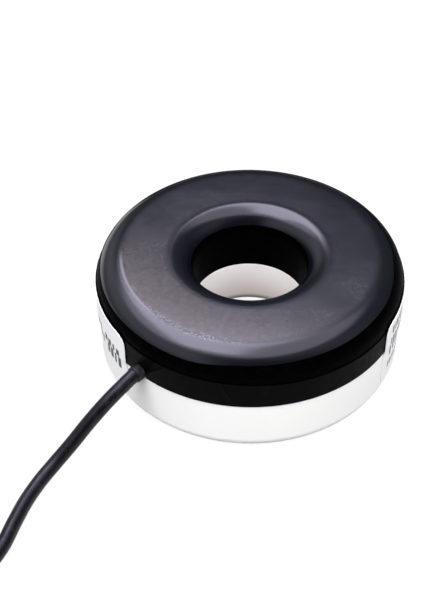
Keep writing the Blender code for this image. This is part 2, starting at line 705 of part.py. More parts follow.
black_plastic = finish("black_plastic", (0.020, 0.020, 0.023), 0.38)
white_plastic = finish("white_plastic", (0.86, 0.85, 0.82), 0.42)
black_tape = finish("black_tape", (0.012, 0.012, 0.013), 0.50)
label_film = finish("label_film", (0.88, 0.88, 0.90), 0.40)
lead_rubber = finish("lead_rubber", (0.025, 0.025, 0.028), 0.55)
lead_jacket = finish("lead_jacket", (0.022, 0.022, 0.026), 0.48)
strip_steel = finish("strip_steel", (0.45, 0.46, 0.48), 0.35, 1.0)
cap_plastic = finish("cap_plastic", (0.70, 0.66, 0.55), 0.50)
copper = finish("copper", (0.72, 0.33, 0.16), 0.30, 1.0)
foam = finish("foam", (0.25, 0.25, 0.26), 0.90)
board_laminate = finish("board_laminate", (0.05, 0.22, 0.10), 0.45)
resistor_coat = finish("resistor_coat", (0.22, 0.42, 0.60), 0.40)
diode_glass = finish("diode_glass", (0.10, 0.10, 0.10), 0.30)
winding_sleeve = finish("winding_sleeve", (0.70, 0.55, 0.20), 0.50)
white_insulation = finish("white_insulation", (0.85, 0.85, 0.83), 0.40)
black_insulation = finish("black_insulation", (0.02, 0.02, 0.02), 0.40)
tie_nylon = finish("tie_nylon", (0.03, 0.03, 0.03), 0.45)
shrink_sleeve = finish("shrink_sleeve", (0.02, 0.02, 0.02), 0.45)
tinned_copper = finish("tinned_copper", (0.75, 0.74, 0.70), 0.25, 1.0)

make_cover()
make_tray()
make_band()
for label_name, (label_start, label_end) in LABEL_ANGLES.items():
    make_label(label_name, label_start, label_end)
make_core()
make_winding()
make_cushions()
make_board()
make_link_wires()
make_grommet()
make_lead()
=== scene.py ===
"""Solid-core current transformer with a two-core lead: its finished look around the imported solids."""

import json
import math

import bmesh
import bpy
from mathutils import Matrix, Vector, noise

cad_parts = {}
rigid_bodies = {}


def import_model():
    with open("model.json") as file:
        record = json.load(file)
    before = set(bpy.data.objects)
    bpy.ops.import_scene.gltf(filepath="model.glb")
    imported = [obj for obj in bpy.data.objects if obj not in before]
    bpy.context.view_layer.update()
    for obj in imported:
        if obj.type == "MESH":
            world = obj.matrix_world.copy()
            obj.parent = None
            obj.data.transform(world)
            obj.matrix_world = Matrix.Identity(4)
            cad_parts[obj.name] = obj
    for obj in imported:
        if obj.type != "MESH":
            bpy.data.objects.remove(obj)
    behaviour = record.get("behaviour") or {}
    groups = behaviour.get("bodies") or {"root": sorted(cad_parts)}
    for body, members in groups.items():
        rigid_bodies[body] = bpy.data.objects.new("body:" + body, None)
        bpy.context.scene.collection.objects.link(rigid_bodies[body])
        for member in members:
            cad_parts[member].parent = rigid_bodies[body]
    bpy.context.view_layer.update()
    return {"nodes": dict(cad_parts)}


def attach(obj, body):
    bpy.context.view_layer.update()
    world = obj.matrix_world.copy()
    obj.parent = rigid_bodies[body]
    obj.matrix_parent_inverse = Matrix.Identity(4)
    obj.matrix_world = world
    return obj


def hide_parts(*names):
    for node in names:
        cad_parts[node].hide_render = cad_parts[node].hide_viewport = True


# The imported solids. The script starts from an empty scene, so that the object holds only what is made here.
for thing in list(bpy.data.objects):
    bpy.data.objects.remove(thing, do_unlink=True)
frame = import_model()
nodes = frame["nodes"]


# The camera of the photograph. It stands in front of the case and looks down on it at 43 degrees,
# with a long lens, turned a little to the left and rolled by less than a degree.
PHOTO_WIDTH = 443
FOCAL_PIXELS = 1132.84
CAMERA_PLACE = Vector((0.0, -0.22364, 0.22168))
CAMERA_DIP = math.radians(42.637)
CAMERA_YAW = -0.02454
CAMERA_PITCH = 0.00081
CAMERA_ROLL = math.radians(-0.860)
SENSOR_WIDTH = 36.0
CLIP_START = 0.01


def camera_axes():
    """The camera's own right, up and back in the object's frame."""
    right = Vector((1.0, 0.0, 0.0))
    up = Vector((0.0, math.sin(CAMERA_DIP), math.cos(CAMERA_DIP)))
    ahead = Vector((0.0, math.cos(CAMERA_DIP), -math.sin(CAMERA_DIP)))
    side = right * math.cos(CAMERA_YAW) - ahead * math.sin(CAMERA_YAW)
    turned_ahead = right * math.sin(CAMERA_YAW) + ahead * math.cos(CAMERA_YAW)
    forward = up * math.sin(CAMERA_PITCH) + turned_ahead * math.cos(CAMERA_PITCH)
    tilted_up = up * math.cos(CAMERA_PITCH) - turned_ahead * math.sin(CAMERA_PITCH)
    rolled_right = side * math.cos(CAMERA_ROLL) - tilted_up * math.sin(CAMERA_ROLL)
    rolled_up = side * math.sin(CAMERA_ROLL) + tilted_up * math.cos(CAMERA_ROLL)
    return rolled_right, rolled_up, -forward


def link(name, data):
    """A new object in the scene."""
    thing = bpy.data.objects.new(name, data)
    bpy.context.scene.collection.objects.link(thing)
    return thing


lens = bpy.data.cameras.new("camera")
lens.sensor_fit = "HORIZONTAL"
lens.sensor_width = SENSOR_WIDTH
lens.lens = FOCAL_PIXELS / PHOTO_WIDTH * SENSOR_WIDTH
lens.clip_start = CLIP_START
camera = link("camera", lens)
camera.matrix_world = Matrix.Translation(CAMERA_PLACE) @ Matrix(camera_axes()).transposed().to_4x4()
bpy.context.scene.camera = camera
bpy.context.scene.view_settings.view_transform = "Standard"


# The studio: pale paper under the case. A big soft box with a wide glow round it hangs level overhead,
# a little behind and to the left, and is what the gloss shows. Two lamps in front and one behind it
# light the colours.
SWEEP_SIZE = 6.0
SWEEP_COLOUR = (0.09, 0.09, 0.09, 1.0)
SWEEP_WHITE = 0.90
WORLD_LIGHT = 0.48
WHITE = (1.0, 1.0, 1.0, 1.0)
GLOSS_TINT = (0.86, 0.84, 1.0, 1.0)
# Each lamp has a shape, place, turn in degrees, width and depth, brightness and colour.
# The soft boxes show in gloss only, and the other lamps don't show in it.
LAMPS = {
    "soft_box": ("RECTANGLE", (-0.292, 0.432, 1.20), (0.0, 0.0, -8.0), (0.64, 1.50), 5.9, (0.82, 0.78, 1.0)),
    "soft_box_glow": ("ELLIPSE", (-0.21, 0.24, 1.21), (0, 0, -8.0), (2.0, 1.74), 2.45, (0.86, 0.82, 1.0)),
    "left_lamp": ("ELLIPSE", (-0.475, -0.567, 0.945), (38.0, 0.0, -40.0), (1.0, 1.0), 5.75, (1.0, 1.0, 1.0)),
    "right_lamp": ("ELLIPSE", (0.567, -0.475, 0.945), (38.0, 0.0, 50.0), (1.0, 1.0), 5.15, (1.0, 1.0, 1.0)),
    "back_lamp": ("ELLIPSE", (0.10, 0.75, 0.90), (-39.0, 0.0, -8.0), (1.0, 1.0), 2.8, (1.0, 1.0, 1.0)),
}


def node(tree, kind, inputs=(), **settings):
    """Adds a node and gives back its outputs. An input takes a value, an output, or a list of outputs."""
    made = tree.nodes.new(kind)
    for name, value in settings.items():
        setattr(made, name, value)
    for socket, value in dict(inputs).items():
        for source in value if isinstance(value, list) else [value]:
            if isinstance(source, bpy.types.NodeSocket):
                tree.links.new(source, made.inputs[socket])
            else:
                made.inputs[socket].default_value = source
    return made.outputs


def combine(tree, operation, first, second):
    return node(tree, "ShaderNodeMath", {0: first, 1: second}, operation=operation)[0]


def times(tree, first, *others):
    for other in others:
        first = combine(tree, "MULTIPLY", first, other)
    return first


def spread(tree, value, low, high, new_low=0.0, new_high=1.0, way="LINEAR"):
    """Maps a value from one range to another, and holds it there."""
    inputs = {"Value": value, "From Min": low, "From Max": high, "To Min": new_low, "To Max": new_high}
    return node(tree, "ShaderNodeMapRange", inputs, interpolation_type=way)["Result"]


def ramp(tree, value, low, high, new_low=0.0, new_high=1.0):
    """The same with soft ends."""
    return spread(tree, value, low, high, new_low, new_high, "SMOOTHSTEP")


def room_brightness(tree):
    """What gloss shows of the room: light at the left, a ceiling that dims to the back, and a dark front."""
    place = node(tree, "ShaderNodeTexCoord")["Generated"]
    parts = node(tree, "ShaderNodeSeparateXYZ", {"Vector": place})
    side, depth, height = parts["X"], parts["Y"], parts["Z"]
    left = times(tree, ramp(tree, side, -0.62, -0.15, 0.95, 0.0), ramp(tree, height, 0.05, 0.45, 0.35))
    ceiling = times(tree, ramp(tree, depth, -0.3, 0.5, 0.45, 0.14), ramp(tree, height, 0.08, 0.50, 0.15))
    ceiling = times(tree, ceiling, ramp(tree, depth, -0.80, -0.22))
    return combine(tree, "MAXIMUM", left, ceiling)


def make_world():
    world = bpy.data.worlds.new("studio")
    world.use_nodes = True
    tree = world.node_tree
    tree.nodes.clear()
    light = node(tree, "ShaderNodeBackground", {"Color": WHITE, "Strength": WORLD_LIGHT})[0]
    room = node(tree, "ShaderNodeBackground", {"Color": GLOSS_TINT, "Strength": room_brightness(tree)})[0]
    plain = node(tree, "ShaderNodeBackground", {"Color": WHITE, "Strength": 1.0})[0]
    path = node(tree, "ShaderNodeLightPath")
    seen = combine(tree, "MAXIMUM", path["Is Camera Ray"], path["Is Transmission Ray"])
    shown = node(tree, "ShaderNodeMixShader", {"Fac": path["Is Glossy Ray"], 1: light, 2: room})[0]
    shown = node(tree, "ShaderNodeMixShader", {"Fac": seen, 1: shown, 2: plain})[0]
    node(tree, "ShaderNodeOutputWorld", {"Surface": shown})
    bpy.context.scene.world = world


def make_sweep():
    """The paper: dull where it lights the case, and shining white where it is looked at or mirrored."""
    mesh = bpy.data.meshes.new("sweep")
    half = SWEEP_SIZE / 2
    corners = [(-half, -half, 0), (half, -half, 0), (half, half, 0), (-half, half, 0)]
    mesh.from_pydata(corners, [], [(0, 1, 2, 3)])
    paper = bpy.data.materials.new("sweep_paper")
    paper.use_nodes = True
    tree = paper.node_tree
    tree.nodes.clear()
    path = node(tree, "ShaderNodeLightPath")
    seen = combine(tree, "MAXIMUM", path["Is Camera Ray"], path["Is Transmission Ray"])
    seen = combine(tree, "MAXIMUM", seen, path["Is Glossy Ray"])
    dull = node(tree, "ShaderNodeBsdfDiffuse", {"Color": SWEEP_COLOUR})[0]
    white = node(tree, "ShaderNodeEmission", {"Strength": SWEEP_WHITE})[0]
    both = node(tree, "ShaderNodeAddShader", {0: dull, 1: white})[0]
    shown = node(tree, "ShaderNodeMixShader", {"Fac": seen, 1: dull, 2: both})[0]
    node(tree, "ShaderNodeOutputMaterial", {"Surface": shown})
    mesh.materials.append(paper)
    link("sweep", mesh)


def make_lamps():
    for name, (form, place, turn, size, brightness, colour) in LAMPS.items():
        in_gloss = name.startswith("soft_box")
        lamp = bpy.data.lights.new(name, "AREA")
        lamp.shape = form
        lamp.size, lamp.size_y = size
        area = size[0] * size[1] * (math.pi / 4 if form == "ELLIPSE" else 1.0)
        lamp.energy = brightness * math.pi * area
        lamp.color = colour
        stand = link(name, lamp)
        stand.location = place
        stand.rotation_euler = [math.radians(angle) for angle in turn]
        stand.visible_diffuse = not in_gloss
        stand.visible_glossy = in_gloss


make_world()
make_sweep()
make_lamps()


# The lead: two insulated cores in one round jacket of black soft plastic, 3.7 mm thick and 1.15 m long.
# It comes straight out of its grommet, drops to the table in a long easy curve and runs out of view,
# where the rest is wound into a flat coil of two layers, and its free end lies beside the coil.
LEAD_DIAMETER = 0.0037
LEAD_ANGLE = math.radians(-132.0)
LEAD_HEIGHT = 0.0175
LEAD_BEGINS = 0.0340
LEAD_LEAVES = 0.0423
COIL_CENTRE = Vector((-0.0950, -0.0620, 0.0))
COIL_INSIDE = 0.01525
COIL_OUTSIDE = 0.02915
COIL_TURNS = 7.2917
COIL_ENTRY = math.radians(-75.0)
COIL_LOW = 0.00245
COIL_HIGH = 0.00615
COIL_CLIMB = 0.28
COIL_STEPS = 30
LEAD_ROUTE = [
    (-0.0310, -0.0342, 0.0164),
    (-0.0346, -0.0374, 0.0142),
    (-0.0390, -0.0410, 0.0105),
    (-0.0430, -0.0443, 0.0066),
    (-0.0470, -0.0481, 0.0035),
    (-0.0503, -0.0528, 0.0021),
    (-0.0528, -0.0587, 0.0019),
    (-0.0546, -0.0650, 0.0019),
    (-0.0565, -0.0722, 0.0019),
    (-0.0600, -0.0788, 0.0020),
    (-0.0658, -0.0838, 0.0022),
    (-0.0725, -0.0868, 0.0024),
]
TAIL_ROUTE = [
    (-0.1246, -0.0464, 0.0041),
    (-0.1243, -0.0390, 0.0029),
    (-0.1233, -0.0330, 0.0026),
    (-0.1216, -0.0270, 0.0026),
    (-0.1195, -0.0210, 0.0026),
]


def round_place(radius, angle, height=0.0):
    """A point by its distance from an upright axis, its angle round it and its height."""
    return Vector((radius * math.cos(angle), radius * math.sin(angle), height))


def ease(share):
    """A share of a way, with a soft start and end."""
    return share * share * (3 - 2 * share)


def smooth_line(route, spacing, fine=12):
    """Evenly spaced points on a smooth curve through the route's own points."""
    own = [Vector(point) for point in route]
    knots = [2 * own[0] - own[1], *own, 2 * own[-1] - own[-2]]
    line = []
    for a, b, c, d in zip(knots, knots[1:], knots[2:], knots[3:]):
        for i in range(fine):
            t = i / fine
            line.append(
                b
                + (c - a) * (t / 2)
                + (2 * a - 5 * b + 4 * c - d) * (t**2 / 2)
                + (3 * b - a - 3 * c + d) * (t**3 / 2)
            )
    line.append(own[-1])
    lengths = [0.0]
    for a, b in zip(line, line[1:]):
        lengths.append(lengths[-1] + (b - a).length)
    count = max(2, round(lengths[-1] / spacing))
    even, at = [], 0
    for i in range(count + 1):
        wanted = lengths[-1] * i / count
        while at < len(line) - 2 and lengths[at + 1] < wanted:
            at += 1
        share = (wanted - lengths[at]) / (lengths[at + 1] - lengths[at])
        even.append(line[at].lerp(line[at + 1], min(share, 1.0)))
    return even


def coil_points():
    """Lower layer inwards, a climb on the inmost turn, upper layer outwards, clockwise from above."""
    layer = (COIL_TURNS - COIL_CLIMB) / 2
    points = []
    count = round(COIL_TURNS * COIL_STEPS)
    for i in range(count + 1):
        turn = COIL_TURNS * i / count
        climb = min(max((turn - layer) / COIL_CLIMB, 0.0), 1.0)
        share = min(turn / layer, (COIL_TURNS - turn) / layer, 1.0)
        radius = COIL_OUTSIDE + (COIL_INSIDE - COIL_OUTSIDE) * share
        height = COIL_LOW + (COIL_HIGH - COIL_LOW) * ease(climb)
        points.append(COIL_CENTRE + round_place(radius, COIL_ENTRY - 2 * math.pi * turn, height))
    return points


LEAD_WAY = round_place(1.0, LEAD_ANGLE)
LEAD_EXIT = LEAD_WAY * LEAD_LEAVES + Vector((0, 0, LEAD_HEIGHT))


def lead_line():
    inside = LEAD_WAY * LEAD_BEGINS + Vector((0, 0, LEAD_HEIGHT))
    route = [inside, inside.lerp(LEAD_EXIT, 0.5), LEAD_EXIT, *LEAD_ROUTE, *coil_points(), *TAIL_ROUTE]
    return smooth_line(route, LEAD_DIAMETER / 3, fine=8)


def finish_of(name, colour, roughness, specular=0.5, metallic=0.0):
    """A new material with its shader, ready for the nodes of its own surface."""
    made = bpy.data.materials.new(name)
    made.use_nodes = True
    tree = made.node_tree
    shader = tree.nodes["Principled BSDF"]
    shader.inputs["Base Color"].default_value = (*colour, 1.0)
    shader.inputs["Roughness"].default_value = roughness
    shader.inputs["Specular IOR Level"].default_value = specular
    shader.inputs["Metallic"].default_value = metallic
    return made, tree, shader


def object_place(tree):
    return node(tree, "ShaderNodeTexCoord")["Object"]


def grain(tree, scale, detail=2.0, roughness=0.5, stretch=(1.0, 1.0, 1.0)):
    """Noise in the object's own coordinates; its output runs around one half."""
    place = node(tree, "ShaderNodeMapping", {"Vector": object_place(tree), "Scale": stretch})["Vector"]
    inputs = {"Vector": place, "Scale": scale, "Detail": detail, "Roughness": roughness}
    return node(tree, "ShaderNodeTexNoise", inputs)["Fac"]


def blend_colour(tree, share, first, second):
    """Mixes two colours by a share; either may be a colour or another node's output."""
    first, second = ((*colour, 1.0) if isinstance(colour, tuple) else colour for colour in (first, second))
    inputs = {"Factor": share, "A": first, "B": second}
    return node(tree, "ShaderNodeMix", inputs, data_type="RGBA")["Result"]


def paint(tree, shader, share, first, second):
    """Colours a surface from the first colour to the second."""
    tree.links.new(blend_colour(tree, share, first, second), shader.inputs["Base Color"])


def roughen(tree, shader, scale, detail, smooth, rough):
    """Lets the roughness wander between two values."""
    uneven = spread(tree, grain(tree, scale, detail), 0.3, 0.7, smooth, rough)
    tree.links.new(uneven, shader.inputs["Roughness"])


def emboss(tree, shader, height, distance):
    bump = node(tree, "ShaderNodeBump", {"Distance": distance, "Strength": 1.0, "Height": height})
    tree.links.new(bump["Normal"], shader.inputs["Normal"])


def grained(name, base, tones=(), rough=(), relief=()):
    """A finish made of noise alone.

    base: colour, roughness, and where they matter specular level and metallic share. tones: a noise, the
    range of it that counts and two colours. rough: a noise and two roughnesses. relief: a noise and depth.
    """
    made, tree, shader = finish_of(name, *base)
    if tones:
        texture, low, high, first, second = tones
        paint(tree, shader, spread(tree, grain(tree, *texture), low, high), first, second)
    if rough:
        roughen(tree, shader, *rough)
    if relief:
        *texture, depth = relief
        emboss(tree, shader, grain(tree, *texture), depth)
    return made


def make_jacket_finish():
    """Extruded soft plastic: satin, with a slow unevenness and faint scuffs."""
    scuffs = ((420.0, 4.0), 0.52, 0.72, (0.003, 0.003, 0.005), (0.009, 0.009, 0.011))
    base = ((0.005, 0.005, 0.008), 0.32, 0.24)
    return grained("lead_jacket", base, scuffs, (900.0, 2.0, 0.26, 0.38), (1400.0, 3.0, 0.00004))


def make_tube(name, line, radius, material, resolution):
    """A round tube along a line, as one curve."""
    curve = bpy.data.curves.new(name, "CURVE")
    curve.dimensions = "3D"
    curve.bevel_depth = radius
    curve.bevel_resolution = resolution
    curve.use_fill_caps = True
    spline = curve.splines.new("POLY")
    spline.points.add(len(line) - 1)
    for knot, point in zip(spline.points, line):
        knot.co = (*point, 1.0)
    spline.use_smooth = True
    curve.materials.append(material)
    return link(name, curve)


lead = make_tube("lead", lead_line(), LEAD_DIAMETER / 2, make_jacket_finish(), 5)
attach(lead, "root")
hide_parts("cable", "cable_coil", "cable_tail")


# The tie round the coil: a black nylon cable tie, 4.8 mm wide, drawn tight round the bundle
# with its lock on top. Its strap is ribbed like a ladder so that the lock's pawl can hold it.
TIE_ANGLE = math.radians(135.0)
TIE_WIDTH = 0.0048
TIE_THICKNESS = 0.0003
TIE_CORNER = 0.0017
TIE_SECTION = (0.0131, 0.0313, 0.0003, 0.0083)  # inside of the loop: near, far, low, high
TIE_TOP = TIE_SECTION[3] + TIE_THICKNESS
TIE_TURN = Matrix.Translation(COIL_CENTRE) @ Matrix.Rotation(TIE_ANGLE, 4, "Z")
RIB_COUNT = 46
RIB_DEPTH = 0.00016
LOCK_SIZE = (0.0062, 0.0068, 0.0032)
LOCK_STAND = 0.0215  # distance of the lock from the coil's centre
LOCK_ROUND = 0.0006
STUB_LENGTH = 0.0026
STUB_ROUND = 0.00012
STUB_SUNK = 0.0002


def make_nylon_finish():
    """Moulded black nylon: smooth and a little glossy, with a faint flow pattern."""
    base = ((0.014, 0.014, 0.015), 0.38)
    return grained("tie_nylon", base, (), (700.0, 3.0, 0.30, 0.46), (2200.0, 2.0, 0.00002))


def arc_of(centre, radius, start, end, steps):
    """Points (distance from the axis, height) along an arc, both ends included."""
    angles = (math.radians(start + (end - start) * i / steps) for i in range(steps + 1))
    return [(centre[0] + radius * math.cos(a), centre[1] + radius * math.sin(a)) for a in angles]


def tie_outline():
    """The loop's middle line, as distance from the coil's centre and height."""
    half = TIE_THICKNESS / 2
    near, far, low, high = TIE_SECTION
    near, far, low, high = near - half, far + half, low - half, high + half
    c = TIE_CORNER
    return [
        *arc_of((far - c, high - c), c, 0.0, 90.0, 6),
        *arc_of((near + c, high - c), c, 90.0, 180.0, 6),
        *arc_of((near + c, low + c), c, 180.0, 270.0, 6),
        *arc_of((far - c, low + c), c, 270.0, 360.0, 6),
    ]


def skin(shape, rings, closed=True):
    """Joins each ring of points to the next, and the last to the first where the rings run round."""
    for here, there in zip(rings, rings[1:] + rings[:1] if closed else rings[1:]):
        for j in range(len(here)):
            k = (j + 1) % len(here)
            shape.faces.new((here[j], here[k], there[k], there[j]))


def to_mesh(name, shape, material, smooth_angle=35.0):
    """Ends a bmesh as a finished mesh object with its faces outwards and its sharp edges marked."""
    mesh = bpy.data.meshes.new(name)
    bmesh.ops.remove_doubles(shape, verts=shape.verts, dist=0.0000005)
    bmesh.ops.recalc_face_normals(shape, faces=shape.faces)
    shape.to_mesh(mesh)
    shape.free()
    mesh.shade_smooth()
    mesh.set_sharp_from_angle(angle=math.radians(smooth_angle))
    mesh.materials.append(material)
    return link(name, mesh)


def with_modifiers_applied(piece):
    """The same piece as a plain mesh, with what its modifiers made."""
    bpy.context.view_layer.update()
    mesh = bpy.data.meshes.new_from_object(piece.evaluated_get(bpy.context.evaluated_depsgraph_get()))
    piece.modifiers.clear()
    piece.data = mesh
    mesh.name = piece.name
    return piece


def bevelled_block(shape, size, centre, width, segments):
    """Adds one block with rounded edges to the tie."""
    made = bmesh.ops.create_cube(shape, size=1.0)["verts"]
    bmesh.ops.scale(shape, vec=size, verts=made)
    bmesh.ops.translate(shape, vec=centre, verts=made)
    edges = {edge for vert in made for edge in vert.link_edges}
    rounding = {"offset": width, "segments": segments, "profile": 0.6, "clamp_overlap": True}
    result = bmesh.ops.bevel(shape, geom=list(edges), affect="EDGES", **rounding)
    grown = {vert for face in result["faces"] for vert in face.verts} | {v for v in made if v.is_valid}
    bmesh.ops.transform(shape, matrix=TIE_TURN, verts=list(grown))


def make_strap(nylon):
    """The loop with its lock and the cut end that stands out of it."""
    outline = tie_outline()
    shape = bmesh.new()
    rings = []
    for i, middle in enumerate(outline):
        before, after = Vector(outline[i - 1]), Vector(outline[(i + 1) % len(outline)])
        way = (after - before).normalized()
        out = Vector((way.y, -way.x)) * TIE_THICKNESS / 2
        ring = []
        for side, edge in ((1, -1), (1, 1), (-1, 1), (-1, -1)):
            point = Vector(middle) + out * side
            ring.append(shape.verts.new(TIE_TURN @ Vector((point.x, edge * TIE_WIDTH / 2, point.y))))
        rings.append(ring)
    skin(shape, rings)
    lock_top = TIE_TOP + LOCK_SIZE[2]
    bevelled_block(shape, LOCK_SIZE, Vector((LOCK_STAND, 0.0, TIE_TOP + LOCK_SIZE[2] / 2)), LOCK_ROUND, 3)
    stub = (TIE_THICKNESS * 3, TIE_WIDTH * 0.94, STUB_LENGTH)
    stub_place = Vector((LOCK_STAND, 0.0, lock_top + STUB_LENGTH / 2 - STUB_SUNK))
    bevelled_block(shape, stub, stub_place, STUB_ROUND, 1)
    return to_mesh("cable_tie", shape, nylon)


def new_tree(name, inputs):
    """A Geometry Nodes tree with its named inputs. Gives back the tree and the inputs' own sockets."""
    tree = bpy.data.node_groups.new(name, "GeometryNodeTree")
    sockets = (("Geometry", "Geometry", None, "INPUT"), *((*row, "INPUT") for row in inputs))
    for title, kind, value, way in (*sockets, ("Geometry", "Geometry", None, "OUTPUT")):
        socket = tree.interface.new_socket(title, in_out=way, socket_type="NodeSocket" + kind)
        if value is not None:
            socket.default_value = value
    return tree, node(tree, "NodeGroupInput")


def rib_tree():
    """Geometry Nodes: a row of small ribs, instanced along the top run of a strap and joined to it."""
    nowhere = (0.0, 0.0, 0.0)
    tree, given = new_tree(
        "tie_ribs",
        (
            ("Count", "Int", RIB_COUNT),
            ("Start", "Vector", nowhere),
            ("End", "Vector", nowhere),
            ("Rib Size", "Vector", (0.0001, 0.001, 0.0001)),
            ("Turn", "Vector", nowhere),
            ("Nylon", "Material", None),
        ),
    )
    inputs = {"Count": given["Count"], "Start Location": given["Start"], "Offset": given["End"]}
    row = node(tree, "GeometryNodeMeshLine", inputs, mode="END_POINTS")["Mesh"]
    rib = node(tree, "GeometryNodeMeshCube", {"Size": given["Rib Size"]})["Mesh"]
    inputs = {"Points": row, "Instance": rib, "Rotation": given["Turn"]}
    ribs = node(tree, "GeometryNodeInstanceOnPoints", inputs)["Instances"]
    ribs = node(tree, "GeometryNodeRealizeInstances", {"Geometry": ribs})["Geometry"]
    ribs = node(tree, "GeometryNodeSetMaterial", {"Geometry": ribs, "Material": given["Nylon"]})["Geometry"]
    both = node(tree, "GeometryNodeJoinGeometry", {"Geometry": [given["Geometry"], ribs]})["Geometry"]
    node(tree, "NodeGroupOutput", {"Geometry": both})
    return tree


def run_nodes(piece, tree, values):
    """Puts a node tree on a piece, sets its named inputs, and keeps the result as the piece's own mesh."""
    step = piece.modifiers.new(tree.name, "NODES")
    step.node_group = tree
    for socket in tree.interface.items_tree:
        if socket.item_type == "SOCKET" and socket.in_out == "INPUT" and socket.name in values:
            step[socket.identifier] = values[socket.name]
    return with_modifiers_applied(piece)


def make_tie():
    nylon = make_nylon_finish()
    inset = TIE_CORNER + TIE_THICKNESS
    near, far = TIE_SECTION[:2]
    values = {
        "Count": RIB_COUNT,
        "Start": TIE_TURN @ Vector((near + inset, 0.0, TIE_TOP)),
        "End": TIE_TURN @ Vector((far - inset, 0.0, TIE_TOP)),
        "Rib Size": (RIB_DEPTH, TIE_WIDTH * 0.62, RIB_DEPTH),
        "Turn": (0.0, 0.0, TIE_ANGLE),
        "Nylon": nylon,
    }
    return run_nodes(make_strap(nylon), rib_tree(), values)


coil_tie = make_tie()
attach(coil_tie, "root")
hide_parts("coil_tie")


# The free end of the lead: a shrunk sleeve over the end of the jacket, out of which come the two
# insulated cores, white and black, each stripped at its end to a tinned twist of fine wire.
TAIL_END = Vector(TAIL_ROUTE[-1])
TAIL_WAY = (TAIL_END - smooth_line(TAIL_ROUTE, 0.004)[-2]).normalized()
TAIL_ACROSS = TAIL_WAY.cross(Vector((0.0, 0.0, 1.0))).normalized()
SLEEVE_BACK = 0.0080
SLEEVE_FRONT = 0.0040
SLEEVE_STEP = 0.0005
SLEEVE_WALL = 0.00035
SLEEVE_SIDES = 28
SLEEVE_TRIM = 0.00012  # the cut ends are drawn in by this
SLEEVE_SHRINK = (0.66, 0.00012, 0.00085)  # where it begins to draw in, and how much in width and depth
SLEEVE_RIPPLE = 0.00006
CORE_RADIUS = 0.0007
CORE_SIDE = 0.0008
CORE_FLOOR = 0.00085
CORE_SPREAD = ((0.008, 0.0018), (0.015, 0.0045), (0.023, 0.0075), (0.031, 0.0090))
TIP_LENGTH = 0.0070
TIP_HIDDEN = 0.0007  # how far inside the insulation the twist begins
TIP_EXTRA = 0.001  # what a twist has beyond the length that shows
CORE_HIDDEN = 0.0003  # how far in front of the jacket's end a core begins, inside the sleeve


def make_sleeve():
    """Follows the jacket, a little slack at the back, and draws in over the two cores in front."""
    base = ((0.012, 0.012, 0.013), 0.46)
    made = grained("shrink_sleeve", base, (), (1100.0, 3.0, 0.36, 0.56), (1500.0, 3.0, 0.00005))
    line = smooth_line(TAIL_ROUTE, SLEEVE_STEP)[-round(SLEEVE_BACK / SLEEVE_STEP) :]
    line += [TAIL_END + TAIL_WAY * SLEEVE_STEP * (i + 1) for i in range(round(SLEEVE_FRONT / SLEEVE_STEP))]
    last = len(line) - 1
    draws_in, narrower, flatter = SLEEVE_SHRINK
    shape = bmesh.new()
    rings = []
    for i, point in enumerate(line):
        share = i / last
        ahead = line[min(i + 1, last)] - line[max(i - 1, 0)]
        above = TAIL_ACROSS.cross(ahead.normalized())
        squeeze = max(0.0, (share - draws_in) / (1 - draws_in))
        radius = LEAD_DIAMETER / 2 + SLEEVE_WALL - (SLEEVE_TRIM if i in (0, last) else 0.0)
        width = radius - narrower * squeeze
        depth = radius - flatter * squeeze**1.5
        ring = []
        for j in range(SLEEVE_SIDES):
            a = 2 * math.pi * j / SLEEVE_SIDES
            ripple = SLEEVE_RIPPLE * math.sin(3 * a + 9 * share) * math.sin(math.pi * share)
            offset = TAIL_ACROSS * (width + ripple) * math.cos(a) + above * (depth + ripple) * math.sin(a)
            ring.append(shape.verts.new(point + offset))
        rings.append(ring)
    skin(shape, rings, closed=False)
    shape.faces.new(rings[0])
    shape.faces.new(rings[-1])
    sleeve = to_mesh("end_sleeve", shape, made, 40.0)
    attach(sleeve, "root")
    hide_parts("cable_end_sleeve")
    return sleeve


def make_insulation(name, colour):
    worn = tuple(min(channel * 0.8 + 0.02, 1.0) for channel in colour)
    return grained(name, (colour, 0.34), ((600.0, 3.0), 0.5, 0.75, colour, worn), (900.0, 2.0, 0.28, 0.42))


def core_line(side):
    """The way of one core: out of the jacket, out of the sleeve, down to the table and away to its side."""
    level = Vector((TAIL_WAY.x, TAIL_WAY.y, 0.0)).normalized()
    offset = TAIL_ACROSS * side * CORE_SIDE
    route = [TAIL_END + TAIL_WAY * CORE_HIDDEN + offset, TAIL_END + TAIL_WAY * SLEEVE_FRONT + offset]
    for onward, spread_out in CORE_SPREAD:
        point = TAIL_END + level * onward + TAIL_ACROSS * side * spread_out
        route.append(Vector((point.x, point.y, CORE_FLOOR)))
    return smooth_line(route, CORE_RADIUS)


